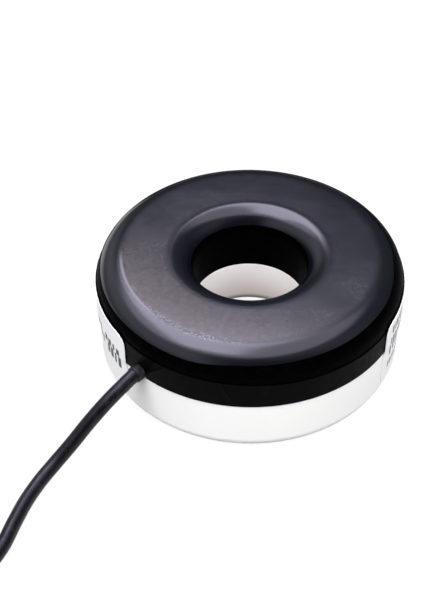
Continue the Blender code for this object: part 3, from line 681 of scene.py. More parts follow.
def strand_tree():
    """Geometry Nodes: strands round a straight middle line, twisted along it, each swept as a round wire."""
    tree, given = new_tree(
        "tinned_strands",
        (
            ("Strands", "Int", 7),
            ("Length", "Float", TIP_LENGTH),
            ("Bundle Radius", "Float", 0.00023),
            ("Strand Radius", "Float", 0.00012),
            ("Twist", "Float", 1.6),
            ("Points", "Int", 22),
            ("Tin", "Material", None),
        ),
    )
    bundle = node(tree, "GeometryNodeCurvePrimitiveCircle", {"Radius": given["Bundle Radius"]})["Curve"]
    inputs = {"Curve": bundle, "Count": given["Strands"]}
    starts = node(tree, "GeometryNodeCurveToPoints", inputs, mode="COUNT")["Points"]
    far_end = node(tree, "ShaderNodeCombineXYZ", {"Z": given["Length"]})["Vector"]
    strand = node(tree, "GeometryNodeCurvePrimitiveLine", {"End": far_end})["Curve"]
    strand = node(tree, "GeometryNodeResampleCurve", {"Curve": strand, "Count": given["Points"]})["Curve"]
    inputs = {"Points": starts, "Instance": strand}
    strands = node(tree, "GeometryNodeInstanceOnPoints", inputs)["Instances"]
    strands = node(tree, "GeometryNodeRealizeInstances", {"Geometry": strands})["Geometry"]
    place = node(tree, "GeometryNodeInputPosition")["Position"]
    height = node(tree, "ShaderNodeSeparateXYZ", {"Vector": place})["Z"]
    full_turn = combine(tree, "MULTIPLY", given["Twist"], 2 * math.pi)
    angle = times(tree, combine(tree, "DIVIDE", height, given["Length"]), full_turn)
    inputs = {"Vector": place, "Angle": angle}
    twisted = node(tree, "ShaderNodeVectorRotate", inputs, rotation_type="Z_AXIS")["Vector"]
    moved = node(tree, "GeometryNodeSetPosition", {"Geometry": strands, "Position": twisted})["Geometry"]
    inputs = {"Resolution": 8, "Radius": given["Strand Radius"]}
    section = node(tree, "GeometryNodeCurvePrimitiveCircle", inputs)["Curve"]
    inputs = {"Curve": moved, "Profile Curve": section, "Fill Caps": True}
    swept = node(tree, "GeometryNodeCurveToMesh", inputs)["Mesh"]
    tinned = node(tree, "GeometryNodeSetMaterial", {"Geometry": swept, "Material": given["Tin"]})["Geometry"]
    node(tree, "NodeGroupOutput", {"Geometry": tinned})
    return tree


def aimed(place, way):
    """The move that takes a mesh to a place and turns its own height to a way."""
    return Matrix.Translation(place) @ way.to_track_quat("Z", "Y").to_matrix().to_4x4()


def make_free_end():
    tin = grained("tinned_copper", ((0.72, 0.71, 0.68), 0.28, 0.5, 1.0), (), (2500.0, 3.0, 0.20, 0.40))
    strands = strand_tree()
    made = []
    for colour, side, insulation in (
        ("white", 1, make_insulation("white_insulation", (0.84, 0.84, 0.82))),
        ("black", -1, make_insulation("black_insulation", (0.015, 0.015, 0.016))),
    ):
        line = core_line(side)
        core = make_tube(f"end_wire_{colour}", line, CORE_RADIUS, insulation, 4)
        way = (line[-1] - line[-2]).normalized()
        tip = link(f"end_strands_{colour}", bpy.data.meshes.new(f"end_strands_{colour}"))
        run_nodes(tip, strands, {"Tin": tin, "Length": TIP_LENGTH + TIP_EXTRA})
        tip.data.transform(aimed(line[-1] - way * TIP_HIDDEN, way))
        tip.data.shade_smooth()
        for piece, solid, slot in (
            (core, f"end_core_{colour}", f"{colour}_insulation"),
            (tip, f"end_tip_{colour}", "tinned_copper"),
        ):
            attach(piece, "root")
            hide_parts(solid)
            made.append(piece)
    return made


end_sleeve = make_sleeve()
end_wires = make_free_end()


# The core: a closed ring of thin silicon steel strip, wound flat like a clock spring. Two natural nylon
# channels lie over its edges, so that the wire can't cut into it, and part of the strip shows between.
STRIP_PITCH = 0.0003


def give_finish(finish, *names):
    """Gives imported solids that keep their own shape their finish."""
    for name in names:
        for slot in nodes[name].material_slots:
            slot.material = finish


def place_parts(tree):
    """The three coordinates of the point that is shaded."""
    return node(tree, "ShaderNodeSeparateXYZ", {"Vector": object_place(tree)})


def radius_and_height(tree):
    """Distance from the bore's axis, and height, of the point that is shaded."""
    parts = place_parts(tree)
    flat = node(tree, "ShaderNodeCombineXYZ", {"X": parts["X"], "Y": parts["Y"]})["Vector"]
    return node(tree, "ShaderNodeVectorMath", {0: flat}, operation="LENGTH")["Value"], parts["Z"]


def along(tree, way):
    """How far the shaded point lies to one side of the bore's axis."""
    measure = node(tree, "ShaderNodeVectorMath", {0: object_place(tree), 1: way}, operation="DOT_PRODUCT")
    return measure["Value"]


def wave(tree, value, pitch):
    """A sine along a length, from 0 to 1."""
    angle = combine(tree, "MULTIPLY", value, 2 * math.pi / pitch)
    return spread(tree, combine(tree, "SINE", angle, 0.0), -1.0, 1.0)


def weave(tree, first, second, pitch):
    """Two waves that cross each other, for threads that lie two ways."""
    return times(tree, wave(tree, along(tree, first), pitch), wave(tree, along(tree, second), pitch))


def make_strip_finish():
    made, tree, shader = finish_of("strip_steel", (0.45, 0.46, 0.48), 0.36, metallic=1.0)
    edges = wave(tree, radius_and_height(tree)[0], STRIP_PITCH)
    stain = spread(tree, grain(tree, 160.0, 4.0), 0.35, 0.70)
    steel = blend_colour(tree, stain, (0.47, 0.48, 0.50), (0.36, 0.36, 0.37))
    paint(tree, shader, edges, (0.20, 0.20, 0.21), steel)
    roughen(tree, shader, 700.0, 3.0, 0.28, 0.46)
    emboss(tree, shader, edges, 0.00004)
    return made


def make_channel_finish():
    base = ((0.70, 0.66, 0.55), 0.42)
    flow = ((90.0, 4.0, 0.5, (1.0, 1.0, 2.5)), 0.35, 0.70, (0.72, 0.68, 0.57), (0.66, 0.61, 0.49))
    return grained("cap_plastic", base, flow, (600.0, 3.0, 0.36, 0.52), (2000.0, 2.0, 0.00002))


give_finish(make_strip_finish(), "core")
give_finish(make_channel_finish(), "core_cap_lower", "core_cap_upper")


# The winding: enamelled copper wire, laid turn beside turn right round the ring. Its two ends are
# drawn out in varnished sleeves and soldered to the board.
WIRE_TURNS = 460
BRAID_WAYS = ((0.7, 0.7, 0.4), (0.7, -0.7, 0.4))
BRAID_PITCH = 0.00045


def make_wire_finish():
    made, tree, shader = finish_of("copper", (0.72, 0.33, 0.16), 0.24, metallic=0.9)
    parts = place_parts(tree)
    around = combine(tree, "ARCTAN2", parts["Y"], parts["X"])
    turns = wave(tree, around, 2 * math.pi / WIRE_TURNS)
    tone = spread(tree, grain(tree, 260.0, 4.0), 0.35, 0.70)
    enamel = blend_colour(tree, tone, (0.74, 0.35, 0.17), (0.58, 0.24, 0.11))
    paint(tree, shader, turns, (0.22, 0.08, 0.04), enamel)
    roughen(tree, shader, 900.0, 3.0, 0.18, 0.34)
    emboss(tree, shader, turns, 0.00010)
    return made


def make_varnished_sleeve():
    made, tree, shader = finish_of("winding_sleeve", (0.70, 0.55, 0.20), 0.34)
    braid = weave(tree, *BRAID_WAYS, BRAID_PITCH)
    paint(tree, shader, braid, (0.50, 0.37, 0.12), (0.74, 0.59, 0.24))
    emboss(tree, shader, braid, 0.00005)
    return made


give_finish(make_wire_finish(), "secondary_winding")
give_finish(make_varnished_sleeve(), "winding_lead_start", "winding_lead_finish")


# The cushions: two rings punched from grey closed-cell foam sheet. They lie under and over the wound
# core and hold it still between the tray's floor and the cover.
CELL_SCALE = 2200.0


def make_foam_finish():
    made, tree, shader = finish_of("foam", (0.25, 0.25, 0.26), 0.85, 0.25)
    inputs = {"Vector": object_place(tree), "Scale": CELL_SCALE}
    cells = node(tree, "ShaderNodeTexVoronoi", inputs)["Distance"]
    paint(tree, shader, spread(tree, cells, 0.0, 0.8, 1.0, 0.0), (0.29, 0.29, 0.30), (0.19, 0.19, 0.20))
    emboss(tree, shader, cells, 0.00008)
    return made


give_finish(make_foam_finish(), "core_cushion_lower", "core_cushion_upper")


# The terminal board on top of the winding: glass cloth laminate with a green lacquer. A burden resistor
# and a clamp diode lie across it, and the lead's two cores come to it from the grommet.
BOARD_LENGTHWAYS = (0.743, -0.669, 0.0)
BOARD_CROSSWAYS = (0.669, 0.743, 0.0)
CLOTH_PITCH = 0.0006
RESISTOR_BANDS = (  # place along the body, half width, colour
    (-0.0021, 0.00028, (0.20, 0.07, 0.03)),
    (-0.0010, 0.00024, (0.02, 0.02, 0.02)),
    (-0.0001, 0.00024, (0.02, 0.02, 0.02)),
    (0.0020, 0.00026, (0.62, 0.45, 0.14)),
)
DIODE_BAND = (0.0018, 0.00038, (0.62, 0.62, 0.60))


def with_bands(finish, *bands):
    """Paints rings over the finish of a part that lies lengthways on the board."""
    tree = finish.node_tree
    surface = tree.nodes["Principled BSDF"].inputs["Base Color"]
    for at, half, colour in bands:
        inputs = {0: along(tree, BOARD_LENGTHWAYS), 1: at, 2: half}
        inside = node(tree, "ShaderNodeMath", inputs, operation="COMPARE")[0]
        tree.links.new(blend_colour(tree, inside, surface.links[0].from_socket, colour), surface)
    return finish


def make_laminate_finish():
    made, tree, shader = finish_of("board_laminate", (0.05, 0.22, 0.10), 0.30)
    cloth = weave(tree, BOARD_LENGTHWAYS, BOARD_CROSSWAYS, CLOTH_PITCH)
    paint(tree, shader, cloth, (0.040, 0.19, 0.085), (0.060, 0.25, 0.115))
    roughen(tree, shader, 500.0, 3.0, 0.24, 0.38)
    emboss(tree, shader, cloth, 0.00002)
    return made


def make_resistor_finish():
    tones = ((700.0, 3.0), 0.35, 0.70, (0.23, 0.44, 0.62), (0.19, 0.37, 0.54))
    coat = grained("resistor_coat", ((0.22, 0.42, 0.60), 0.30), tones, (), (1300.0, 2.0, 0.00003))
    return with_bands(coat, *RESISTOR_BANDS)


def make_diode_finish():
    tones = ((900.0, 3.0), 0.35, 0.70, (0.030, 0.030, 0.032), (0.055, 0.055, 0.058))
    glass = grained("diode_glass", ((0.10, 0.10, 0.10), 0.32), tones, (), (2000.0, 3.0, 0.00002))
    return with_bands(glass, DIODE_BAND)


give_finish(make_laminate_finish(), "terminal_board")
give_finish(make_resistor_finish(), "burden_resistor")
give_finish(make_diode_finish(), "clamp_diode")
give_finish(make_nylon_finish(), "strain_tie")
give_finish(end_wires[0].data.materials[0], "inner_core_white")
give_finish(end_wires[2].data.materials[0], "inner_core_black")


# The cover: the upper half of the case, one black moulding. A flat ring on top is scuffed and dusty,
# a full round edge runs down to the joint, and the inner edge rolls over into the bore.
CASE_RADIUS = 0.0400
CASE_HEIGHT = 0.0315
BORE_RADIUS = 0.0148
WALL = 0.0018
CROWN_ROUND = 0.0065
LIP_ROUND = 0.0061
JOINT_HEIGHT = 0.0175
BORE_JOINT_HEIGHT = 0.0144
LAP_HEIGHT = 0.0018
SEAM_GAP = 0.00006
SHELL_EDGE = 0.00014
CASE_STEPS = 240
DUST_SIDE = (-0.56, -0.83, 0.0)  # the front left, where the haze is thickest
RUBBED_SHEEN_SIDE = (-0.62, -0.785, 0.0)  # the middle of the stretch where the edge is rubbed and painted lighter as a highlight
HIGHLIGHT_LINE_SIDE = (-0.906, -0.423, 0.0)  # and of the thin painted highlight line along the edge
# Each ring on the flat top has four radii: it begins, is full, begins to thin, and ends.
DUST_RING = (0.0208, 0.0228, 0.0318, 0.0340)
RUBBED_SHEEN_RING = (0.0312, 0.0332, 0.0336, 0.0344)
HIGHLIGHT_LINE_RING = (0.0327, 0.0332, 0.0334, 0.0340)
DUST_HEIGHT = (0.0296, 0.0313)
RING_WANDER = 0.0016
# Gloss reaches down the round outer edge to these angles above level, for each azimuth, in degrees; below
# them a darker, duller copy paints shade.
LIT_FINISH_ENDS = (
    (-180.0, 34.0), (-140.0, 32.0), (-112.0, 30.0), (-92.0, 38.0), (-60.0, 40.0),
    (-30.0, 45.0), (0.0, 58.0), (30.0, 68.0), (90.0, 72.0), (135.0, 69.0), (158.0, 48.0), (180.0, 34.0),
)
LIP_LIT_FINISH_ENDS = 25.0
LEAD_HOLE_RADIUS = 0.00212
LEAD_HOLE_REACH = (0.0362, 0.0425)


def turned(name, profile_at, material, steps=CASE_STEPS, edge=0.0):
    """A closed profile, given for each azimuth, turned about the bore's axis, its square edges eased."""
    shape = bmesh.new()
    rings = []
    for i in range(steps):
        azimuth = 360.0 * i / steps - 180.0
        ring = (round_place(radius, math.radians(azimuth), height) for radius, height in profile_at(azimuth))
        rings.append([shape.verts.new(point) for point in ring])
    skin(shape, rings)
    piece = to_mesh(name, shape, material)
    if edge > 0:
        bevel = piece.modifiers.new("Eased edges", "BEVEL")
        bevel.width = edge
        bevel.segments = 2
        bevel.limit_method = "ANGLE"
        bevel.angle_limit = math.radians(50)
        bevel.use_clamp_overlap = True
        with_modifiers_applied(piece)
    return piece


def eased(table, at):
    """A value between the nearest two rows of a table, eased from one to the next."""
    for (a, low), (b, high) in zip(table, table[1:]):
        if a <= at <= b:
            return low + (high - low) * ease((at - a) / (b - a))
    return table[0][1]


def on_ring(tree, radius, ring):
    """One on a ring round the bore, and nothing beside it."""
    begins, full, thins, ends = ring
    return times(tree, ramp(tree, radius, begins, full), ramp(tree, radius, thins, ends, 1.0, 0.0))


def make_cover_finish():
    """Satin black, hazy with fine dust on the flat ring. Its edge at the front left is rubbed and painted
    light, part wear and part highlight.
    """
    made, tree, shader = finish_of("black_plastic", (0.006, 0.006, 0.009), 0.20, 0.50)
    radius, height = radius_and_height(tree)
    uneven = combine(tree, "SUBTRACT", grain(tree, 420.0, 4.0, 0.6), 0.5)
    rough_radius = combine(tree, "ADD", radius, times(tree, uneven, RING_WANDER))
    begins, full, thins, ends = DUST_RING
    flat = times(tree, ramp(tree, rough_radius, thins, ends, 1.0, 0.0), ramp(tree, height, *DUST_HEIGHT))
    flat = times(tree, ramp(tree, radius, begins, full), flat)
    clouds = spread(tree, grain(tree, 62.0, 3.0, 0.55), 0.27, 0.73)
    smears = spread(tree, grain(tree, 150.0, 3.0, 0.55, (0.8, 1.9, 1.0)), 0.25, 0.75, 0.30)
    fine = spread(tree, grain(tree, 640.0, 4.0, 0.74), 0.22, 0.78, 0.20)
    film = times(tree, times(tree, clouds, smears), times(tree, fine, flat))
    film = times(tree, film, ramp(tree, along(tree, DUST_SIDE), -0.034, 0.004, 0.35))
    colour = blend_colour(tree, film, (0.0032, 0.0036, 0.0062), (0.042, 0.047, 0.060))
    haze = times(tree, ramp(tree, along(tree, DUST_SIDE), 0.002, 0.031), flat, fine)
    colour = blend_colour(tree, haze, colour, (0.050, 0.041, 0.036))
    # Specks painted light on the edge at the front left: part wear, part painted highlight.
    crumbs = ramp(tree, grain(tree, 2300.0, 4.0, 0.7), 0.44, 0.66)
    rubbed = ramp(tree, along(tree, RUBBED_SHEEN_SIDE), 0.024, 0.032, 0.0, 0.55)
    rubbed_wear_and_sheen = times(tree, crumbs, rubbed, on_ring(tree, rough_radius, RUBBED_SHEEN_RING))
    # A thin painted highlight line along the edge at the left.
    line = ramp(tree, along(tree, HIGHLIGHT_LINE_SIDE), 0.0295, 0.0328, 0.0, 0.55)
    line = times(tree, on_ring(tree, radius, HIGHLIGHT_LINE_RING), line)
    paint(tree, shader, combine(tree, "MAXIMUM", rubbed_wear_and_sheen, line), colour, (0.21, 0.20, 0.24))
    roughness = spread(tree, times(tree, flat, fine), 0.0, 1.0, 0.19, 0.23)
    tree.links.new(roughness, shader.inputs["Roughness"])
    emboss(tree, shader, grain(tree, 5200.0, 2.0), 0.00001)
    return made


def make_shaded_wall_finish():
    """The same moulding, darker and duller, as painted shade: the side wall below the glossy edge, the bore
    and the inside.
    """
    base = ((0.001, 0.001, 0.0015), 0.46, 0.006)
    tones = ((500.0, 4.0), 0.45, 0.75, (0.0002, 0.0002, 0.0004), (0.0008, 0.0008, 0.0012))
    return grained("black_plastic_shaded_wall", base, tones, (900.0, 3.0, 0.38, 0.54), (2600.0, 3.0, 0.6, 0.00003))


def drill_lead_way(piece):
    """Takes the grommet's half of the hole out of one shell's side wall."""
    near, far = LEAD_HOLE_REACH
    shape = bmesh.new()
    size = {"segments": 48, "radius1": LEAD_HOLE_RADIUS, "radius2": LEAD_HOLE_RADIUS, "depth": far - near}
    bmesh.ops.create_cone(shape, cap_ends=True, **size)
    drill = to_mesh("drill", shape, piece.data.materials[0])
    drill.data.transform(aimed(LEAD_WAY * (near + far) / 2 + Vector((0.0, 0.0, LEAD_HEIGHT)), LEAD_WAY))
    cut = piece.modifiers.new("Lead way", "BOOLEAN")
    cut.operation = "DIFFERENCE"
    cut.solver = "EXACT"
    cut.object = drill
    with_modifiers_applied(piece)
    piece.data.set_sharp_from_angle(angle=math.radians(20))
    bpy.data.objects.remove(drill, do_unlink=True)


def make_cover():
    crown = (CASE_RADIUS - CROWN_ROUND, CASE_HEIGHT - CROWN_ROUND)
    lip = (BORE_RADIUS + LIP_ROUND, CASE_HEIGHT - LIP_ROUND)
    inner_radius, tube_radius = CASE_RADIUS - WALL, BORE_RADIUS + WALL
    outer_lap, bore_lap = CASE_RADIUS - WALL / 2 + SEAM_GAP, BORE_RADIUS + WALL / 2 - SEAM_GAP
    joint, lap_top = JOINT_HEIGHT + SEAM_GAP, JOINT_HEIGHT + LAP_HEIGHT + SEAM_GAP
    bore_joint, bore_top = BORE_JOINT_HEIGHT + SEAM_GAP, BORE_JOINT_HEIGHT + LAP_HEIGHT + SEAM_GAP
    profile = [
        (CASE_RADIUS, joint),
        (outer_lap, joint),
        (outer_lap, lap_top),
        (inner_radius, lap_top),
        *arc_of(crown, CROWN_ROUND - WALL, 0, 90, 8),
        *arc_of(lip, LIP_ROUND - WALL, 90, 180, 8),
        (tube_radius, bore_top),
        (bore_lap, bore_top),
        (bore_lap, bore_joint),
        (BORE_RADIUS, bore_joint),
        *arc_of(lip, LIP_ROUND, 180, 90, 26),
    ]

    def profile_at(azimuth):
        end = eased(LIT_FINISH_ENDS, azimuth)
        lit_arc = arc_of(crown, CROWN_ROUND, 90, end, 18)
        return [*lit_arc, *arc_of(crown, CROWN_ROUND, end, 0, 11)[1:], *profile]

    cover = turned("cover", profile_at, make_cover_finish(), edge=SHELL_EDGE)
    cover.data.materials.append(make_shaded_wall_finish())
    # Faces that lean further from level than the gloss reaches take the darker copy, as painted shade.
    for face in cover.data.polygons:
        azimuth = math.degrees(math.atan2(face.center.y, face.center.x))
        on_crown = face.center.xy.length > crown[0]
        end = eased(LIT_FINISH_ENDS, azimuth) if on_crown else LIP_LIT_FINISH_ENDS
        if face.normal.z < math.sin(math.radians(end)):
            face.material_index = 1
    drill_lead_way(cover)
    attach(cover, "root")
    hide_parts("top_shell")


make_cover()


# The tray: the lower half of the case, one white moulding. Its floor turns up with a small round edge
# into the side wall and into the lower part of the bore, where it shows below the cover.
FOOT_ROUND = 0.0040
BORE_FOOT_ROUND = 0.0033


def make_tray_finish():
    """Glossless white. Painted shade darkens the lower part of the bore, and a painted shadow lies dark along
    its foot.
    """
    made, tree, shader = finish_of("white_plastic", (0.92, 0.915, 0.90), 0.40, 0.40)
    tone = spread(tree, grain(tree, 60.0, 4.0), 0.35, 0.70)
    colour = blend_colour(tree, tone, (0.950, 0.946, 0.944), (0.925, 0.920, 0.915))
    radius, height = radius_and_height(tree)
    in_bore = ramp(tree, radius, 0.0172, 0.0188, 1.0, 0.0)
    # Painted shade: the bore's white darkens to a warm grey towards its bottom.
    painted_bore_shade = times(tree, in_bore, ramp(tree, height, 0.0005, 0.0130, 1.0, 0.30))
    colour = blend_colour(tree, painted_bore_shade, colour, (0.80, 0.70, 0.68))
    # Painted shadow: a dark line along the foot of the bore.
    painted_foot_shadow = times(tree, in_bore, ramp(tree, height, 0.0015, 0.0038, 1.0, 0.0))
    paint(tree, shader, painted_foot_shadow, colour, (0.10, 0.085, 0.08))
    roughen(tree, shader, 500.0, 3.0, 0.34, 0.48)
    emboss(tree, shader, grain(tree, 2600.0, 3.0, 0.6), 0.00002)
    return made


def make_tray():
    foot = (CASE_RADIUS - FOOT_ROUND, FOOT_ROUND)
    bore_foot = (BORE_RADIUS + BORE_FOOT_ROUND, BORE_FOOT_ROUND)
    inner_radius, tube_radius = CASE_RADIUS - WALL, BORE_RADIUS + WALL
    outer_tongue, bore_tongue = CASE_RADIUS - WALL / 2 - SEAM_GAP, BORE_RADIUS + WALL / 2 + SEAM_GAP
    joint, tongue_top = JOINT_HEIGHT - SEAM_GAP, JOINT_HEIGHT + LAP_HEIGHT - SEAM_GAP
    bore_joint, bore_top = BORE_JOINT_HEIGHT - SEAM_GAP, BORE_JOINT_HEIGHT + LAP_HEIGHT - SEAM_GAP
    profile = [
        (CASE_RADIUS, joint),
        *arc_of(foot, FOOT_ROUND, 0, -90, 18),
        *arc_of(bore_foot, BORE_FOOT_ROUND, -90, -180, 16),
        (BORE_RADIUS, bore_joint),
        (bore_tongue, bore_joint),
        (bore_tongue, bore_top),
        (tube_radius, bore_top),
        *arc_of(bore_foot, BORE_FOOT_ROUND - WALL, 180, 270, 6),
        *arc_of(foot, FOOT_ROUND - WALL, -90, 0, 6),
        (inner_radius, tongue_top),
        (outer_tongue, tongue_top),
        (outer_tongue, joint),
    ]
    tray = turned("tray", lambda azimuth: profile, make_tray_finish(), edge=SHELL_EDGE)
    drill_lead_way(tray)
    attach(tray, "root")
    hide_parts("bottom_shell")


make_tray()


# The joint band: black vinyl tape wound once round the joint of the two halves and lapped at the back.
# It was laid by hand, so its upper edge wanders and slack folds cross it. It is cut out round the lead.
TAPE_RADIUS = 0.04007
TAPE_THICKNESS = 0.00013
TAPE_LOW = 0.0163
TAPE_EDGE = (  # azimuth in degrees, height of the upper edge
    (-150.0, 0.02440), (-125.0, 0.02400), (-95.0, 0.02385), (-70.0, 0.02350), (-45.0, 0.02325),
    (-15.0, 0.02300), (0.0, 0.02310), (20.0, 0.02395), (45.0, 0.02485), (85.0, 0.02495),
    (125.0, 0.02470), (165.0, 0.02455), (210.0, 0.02440),
)
TAPE_BEGINS = 96.0
TAPE_LAP = 18.0
LAP_CLIMB = 1.6  # degrees over which the tape's end climbs on its beginning
LAP_GAP = 0.00004
LAP_DROP = 0.0003  # how much lower its upper edge lies there
TAPE_COLUMNS = 800
TAPE_ROWS = 24
TAPE_CUT = 0.00220
CUT_MARGIN = 0.00022  # points nearer the lead than the cut by this or more are left out
NEAREST = 0.000001
TAPE_SLACK = 0.00003
SLACK_GRAIN = 260.0
TAPE_FOLDS = (  # from azimuth and height, to azimuth and height, then how far the fold stands out
    (-129.0, 0.0180, -119.5, 0.0243, 0.00018),
    (-127.0, 0.0165, -122.0, 0.0200, 0.00007),
    (-99.2, 0.0236, -95.2, 0.0176, 0.00020),
    (-97.6, 0.0231, -94.6, 0.0196, 0.00006),
    (-58.0, 0.0166, -55.0, 0.0200, 0.00006),
    (48.0, 0.0168, 57.0, 0.0236, 0.00010),
    (121.0, 0.0242, 127.0, 0.0182, 0.00010),
    (142.0, 0.0168, 149.0, 0.0231, 0.00009),
)
FOLD_WIDTH = 0.00030


def way_round(start, azimuth):
    """How far one azimuth lies from another along the side wall, the short way round."""
    return ((azimuth - start + 180.0) % 360.0 - 180.0) * math.pi / 180 * CASE_RADIUS


def fold_rise(azimuth, height):
    """How far the slack of the tape stands out from the wall at one place."""
    rise = 0.0
    for start, low, end, high, stand in TAPE_FOLDS:
        run = Vector(((end - start) * math.pi / 180 * CASE_RADIUS, high - low))
        here = Vector((way_round(start, azimuth), height - low))
        share = min(max(here.dot(run) / run.length_squared, 0.0), 1.0)
        away = (here - run * share).length
        rise += stand * math.exp(-((away / FOLD_WIDTH) ** 2)) * (0.35 + 0.65 * math.sin(math.pi * share))
    place = round_place(1.0, math.radians(azimuth)) * CASE_RADIUS + Vector((0.0, 0.0, height))
    return rise + TAPE_SLACK * (0.5 + 0.5 * noise.noise(place * SLACK_GRAIN))


def make_tape_finish():
    base = ((0.003, 0.003, 0.004), 0.50, 0.02)
    rubbed = ((330.0, 5.0, 0.65), 0.55, 0.75, (0.0010, 0.0010, 0.0014), (0.0032, 0.0032, 0.0040))
    return grained("black_tape", base, rubbed, (800.0, 3.0, 0.38, 0.54), (3200.0, 3.0, 0.6, 0.00003))


def make_tape():
    shape = bmesh.new()
    columns, cut = [], set()
    for i in range(TAPE_COLUMNS + 1):
        azimuth = TAPE_BEGINS + (360.0 + TAPE_LAP) * i / TAPE_COLUMNS
        over = min(max((azimuth - TAPE_BEGINS - 360.0 + LAP_CLIMB) / LAP_CLIMB, 0.0), 1.0)
        base = TAPE_RADIUS + (TAPE_THICKNESS + LAP_GAP) * over
        top = eased(TAPE_EDGE, (azimuth + 150.0) % 360.0 - 150.0) - LAP_DROP * over
        around = way_round(math.degrees(LEAD_ANGLE), azimuth)
        column = []
        for j in range(TAPE_ROWS + 1):
            height = TAPE_LOW + (top - TAPE_LOW) * j / TAPE_ROWS
            turn = math.radians(azimuth)
            away = math.hypot(around, height - LEAD_HEIGHT)
            if away < TAPE_CUT:
                scale = TAPE_CUT / max(away, NEAREST)
                turn = LEAD_ANGLE + around * scale / CASE_RADIUS
                height = max(LEAD_HEIGHT + (height - LEAD_HEIGHT) * scale, TAPE_LOW)
            radius = base + fold_rise(math.degrees(turn), height)
            vert = shape.verts.new(round_place(radius, turn, height))
            if away < TAPE_CUT - CUT_MARGIN:
                cut.add(vert)
            column.append(vert)
        columns.append(column)
    for here, there in zip(columns, columns[1:]):
        for j in range(TAPE_ROWS):
            corners = (here[j], there[j], there[j + 1], here[j + 1])
            if not any(corner in cut for corner in corners):
                shape.faces.new(corners)
    bmesh.ops.delete(shape, geom=[vert for vert in shape.verts if not vert.link_faces], context="VERTS")
    mesh = bpy.data.meshes.new("joint_tape")
    shape.to_mesh(mesh)
    shape.free()
    mesh.materials.append(make_tape_finish())
    tape = link("joint_tape", mesh)
    wall = tape.modifiers.new("Thickness", "SOLIDIFY")
    wall.thickness = TAPE_THICKNESS
    wall.offset = 1.0
    with_modifiers_applied(tape)
    tape.data.shade_smooth()
    tape.data.set_sharp_from_angle(angle=math.radians(50))
    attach(tape, "root")
    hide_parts("joint_band")


make_tape()


# The two labels: thin white film with rounded corners, stuck over the joint and stepping up over the
# tape's lower edge. They carry plain bars and ticks only, in a thin layer of black ink.
LABEL_LOW = 0.0040
LABEL_HIGH = 0.0250
LABEL_CORNER = 0.0030
LABEL_THICKNESS = 0.00015
LABEL_ON_TRAY = 0.04003
LABEL_ON_TAPE = 0.04044
LABEL_STEP = (0.0154, 0.0164)
LABEL_PARTS = (90, 34)  # columns and rows of the film, and below of one bar
INK_PARTS = (3, 10)
INK_THICKNESS = 0.00002
INK_SUNK = 0.00001
INK_CORNER = 0.00012
CORNER_STEPS = 6
LABELS = {  # azimuth of the left and the right end
    "label_left": (-201.5, -139.5),
    "label_right": (-31.3, 32.5),
}
BARS = {  # azimuth, lowest and highest point in mm, width in mm
    "label_left": (
        *((-144.6 - 3.1 * i, 11.9, 18.5, (1.45, 0.90, 1.60)[i % 3]) for i in range(4)),
        *((-160.2 - 3.1 * i, 11.9, 18.5, (0.95, 1.50)[i % 2]) for i in range(4)),
        *((-176.0 - 1.5 * i, 13.4, 16.8, 0.45) for i in range(12)),
    ),
    "label_right": (
        *((-25.6 + 2.1 * i, 20.2, 22.8, (0.95, 0.60)[i % 2]) for i in range(24)),
        *((-26.2 + 2.1 * i, 16.4, 18.8, (0.60, 1.00, 0.75)[i % 3]) for i in range(19)),
        *((-24.8 + 3.4 * i, 11.9, 15.0, 1.00) for i in range(8)),
        *((-25.6 + 2.1 * i, 7.6, 9.8, (0.60, 0.80)[i % 2]) for i in range(22)),
    ),
}


def label_radius(height):
    """The label's underside: on the tray below, on the tape above, and a soft step between."""
    low, high = LABEL_STEP
    share = min(max((height - low) / (high - low), 0.0), 1.0)
    return LABEL_ON_TRAY + (LABEL_ON_TAPE - LABEL_ON_TRAY) * ease(share)


def wrapped_slab(shape, ends, low, high, corner, lift, thickness, parts, slot):
    """Adds a thin closed plate with round corners that follows the case's side wall."""
    left, right = ends
    columns, rows = parts
    turn = [math.pi / 2 * i / CORNER_STEPS for i in range(CORNER_STEPS + 1)]
    heights = [(low + corner * (1 - math.cos(a)), corner * (1 - math.sin(a))) for a in turn]
    heights += [(low + corner + (high - low - 2 * corner) * i / rows, 0.0) for i in range(1, rows)]
    heights += [(high - corner * (1 - math.cos(a)), corner * (1 - math.sin(a))) for a in reversed(turn)]
    layers = []
    for rise in (lift, lift + thickness):
        layer = []
        for height, inset in heights:
            trim = math.degrees(inset / CASE_RADIUS)
            radius = label_radius(height) + rise
            row = []
            for i in range(columns + 1):
                azimuth = left + trim + (right - left - 2 * trim) * i / columns
                row.append(shape.verts.new(round_place(radius, math.radians(azimuth), height)))
            layer.append(row)
        layers.append(layer)
    under, over = layers
    faces = []
    for j in range(len(heights) - 1):
        for i in range(columns):
            faces.append((over[j][i], over[j][i + 1], over[j + 1][i + 1], over[j + 1][i]))
            faces.append((under[j][i], under[j + 1][i], under[j + 1][i + 1], under[j][i + 1]))
        faces.append((under[j][0], over[j][0], over[j + 1][0], under[j + 1][0]))
        faces.append((over[j][-1], under[j][-1], under[j + 1][-1], over[j + 1][-1]))
    for i in range(columns):
        faces.append((under[0][i], under[0][i + 1], over[0][i + 1], over[0][i]))
        faces.append((over[-1][i], over[-1][i + 1], under[-1][i + 1], under[-1][i]))
    for corners in faces:
        shape.faces.new(corners).material_index = slot


def make_label_finishes():
    base = ((0.88, 0.88, 0.90), 0.48, 0.35)
    tones = ((240.0, 3.0), 0.35, 0.70, (0.925, 0.925, 0.94), (0.905, 0.905, 0.925))
    film = grained("label_film", base, tones, (700.0, 3.0, 0.40, 0.54), (1500.0, 2.0, 0.00002))
    tones = ((1800.0, 3.0), 0.4, 0.7, (0.016, 0.016, 0.020), (0.045, 0.045, 0.052))
    return film, grained("label_ink", ((0.02, 0.02, 0.024), 0.5, 0.3), tones)


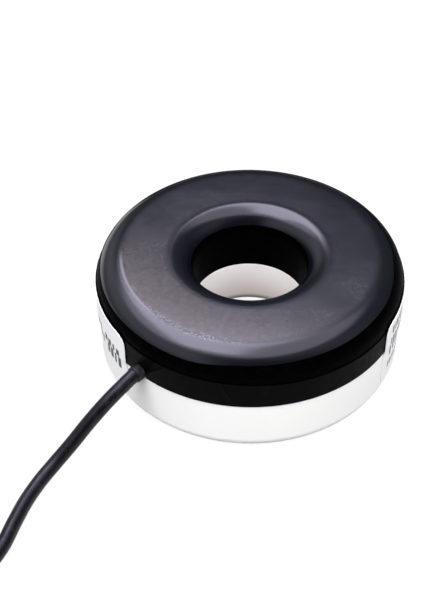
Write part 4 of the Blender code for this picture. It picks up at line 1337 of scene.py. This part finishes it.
def make_labels():
    film, ink = make_label_finishes()
    for name, ends in LABELS.items():
        shape = bmesh.new()
        wrapped_slab(shape, ends, LABEL_LOW, LABEL_HIGH, LABEL_CORNER, 0.0, LABEL_THICKNESS, LABEL_PARTS, 0)
        lift = LABEL_THICKNESS - INK_SUNK
        for azimuth, low, high, width in BARS[name]:
            half = math.degrees(width / 2000 / CASE_RADIUS)
            bar = (azimuth - half, azimuth + half)
            wrapped_slab(shape, bar, low / 1000, high / 1000, INK_CORNER, lift, INK_THICKNESS, INK_PARTS, 1)
        label = to_mesh(f"{name}_film", shape, film, 50.0)
        label.data.materials.append(ink)
        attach(label, "root")
        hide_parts(name)


make_labels()


# The grommet: a black rubber bush snapped into the joint, half in each shell. A flange holds it from
# inside, and its low round collar outside grips the lead's jacket.
GROMMET_BORE = 0.00188
GROMMET_NECK = 0.00206
GROMMET_COLLAR = 0.00212
GROMMET_FLANGE = 0.00325
GROMMET_STATIONS = (0.03720, 0.03790, 0.04048, 0.04230)  # along the lead, from the bore's axis
GROMMET_STEPS = 48
COLLAR_ROUND = 0.00018
CHAMFER = 0.0001
MOUTH_CHAMFER = 0.00005


def make_grommet():
    base = ((0.008, 0.008, 0.010), 0.50, 0.30)
    bloom = ((900.0, 4.0), 0.45, 0.75, (0.005, 0.005, 0.007), (0.022, 0.021, 0.022))
    rubber = grained("lead_rubber", base, bloom, (1300.0, 3.0, 0.44, 0.62), (2400.0, 4.0, 0.00005))
    back, flange, collar, mouth = GROMMET_STATIONS
    profile = [
        (GROMMET_BORE, back),
        (GROMMET_FLANGE - CHAMFER, back),
        (GROMMET_FLANGE, back + CHAMFER),
        (GROMMET_FLANGE, flange),
        (GROMMET_NECK, flange),
        (GROMMET_NECK, collar),
        (GROMMET_COLLAR - CHAMFER, collar),
        (GROMMET_COLLAR, collar + CHAMFER),
        *arc_of((GROMMET_COLLAR - COLLAR_ROUND, mouth - COLLAR_ROUND), COLLAR_ROUND, 0, 90, 8),
        (GROMMET_BORE + MOUTH_CHAMFER, mouth),
        (GROMMET_BORE, mouth - MOUTH_CHAMFER),
    ]
    grommet = turned("grommet", lambda azimuth: profile, rubber, steps=GROMMET_STEPS)
    grommet.data.transform(aimed(Vector((0.0, 0.0, LEAD_HEIGHT)), LEAD_WAY))
    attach(grommet, "root")
    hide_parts("cable_grommet")


make_grommet()
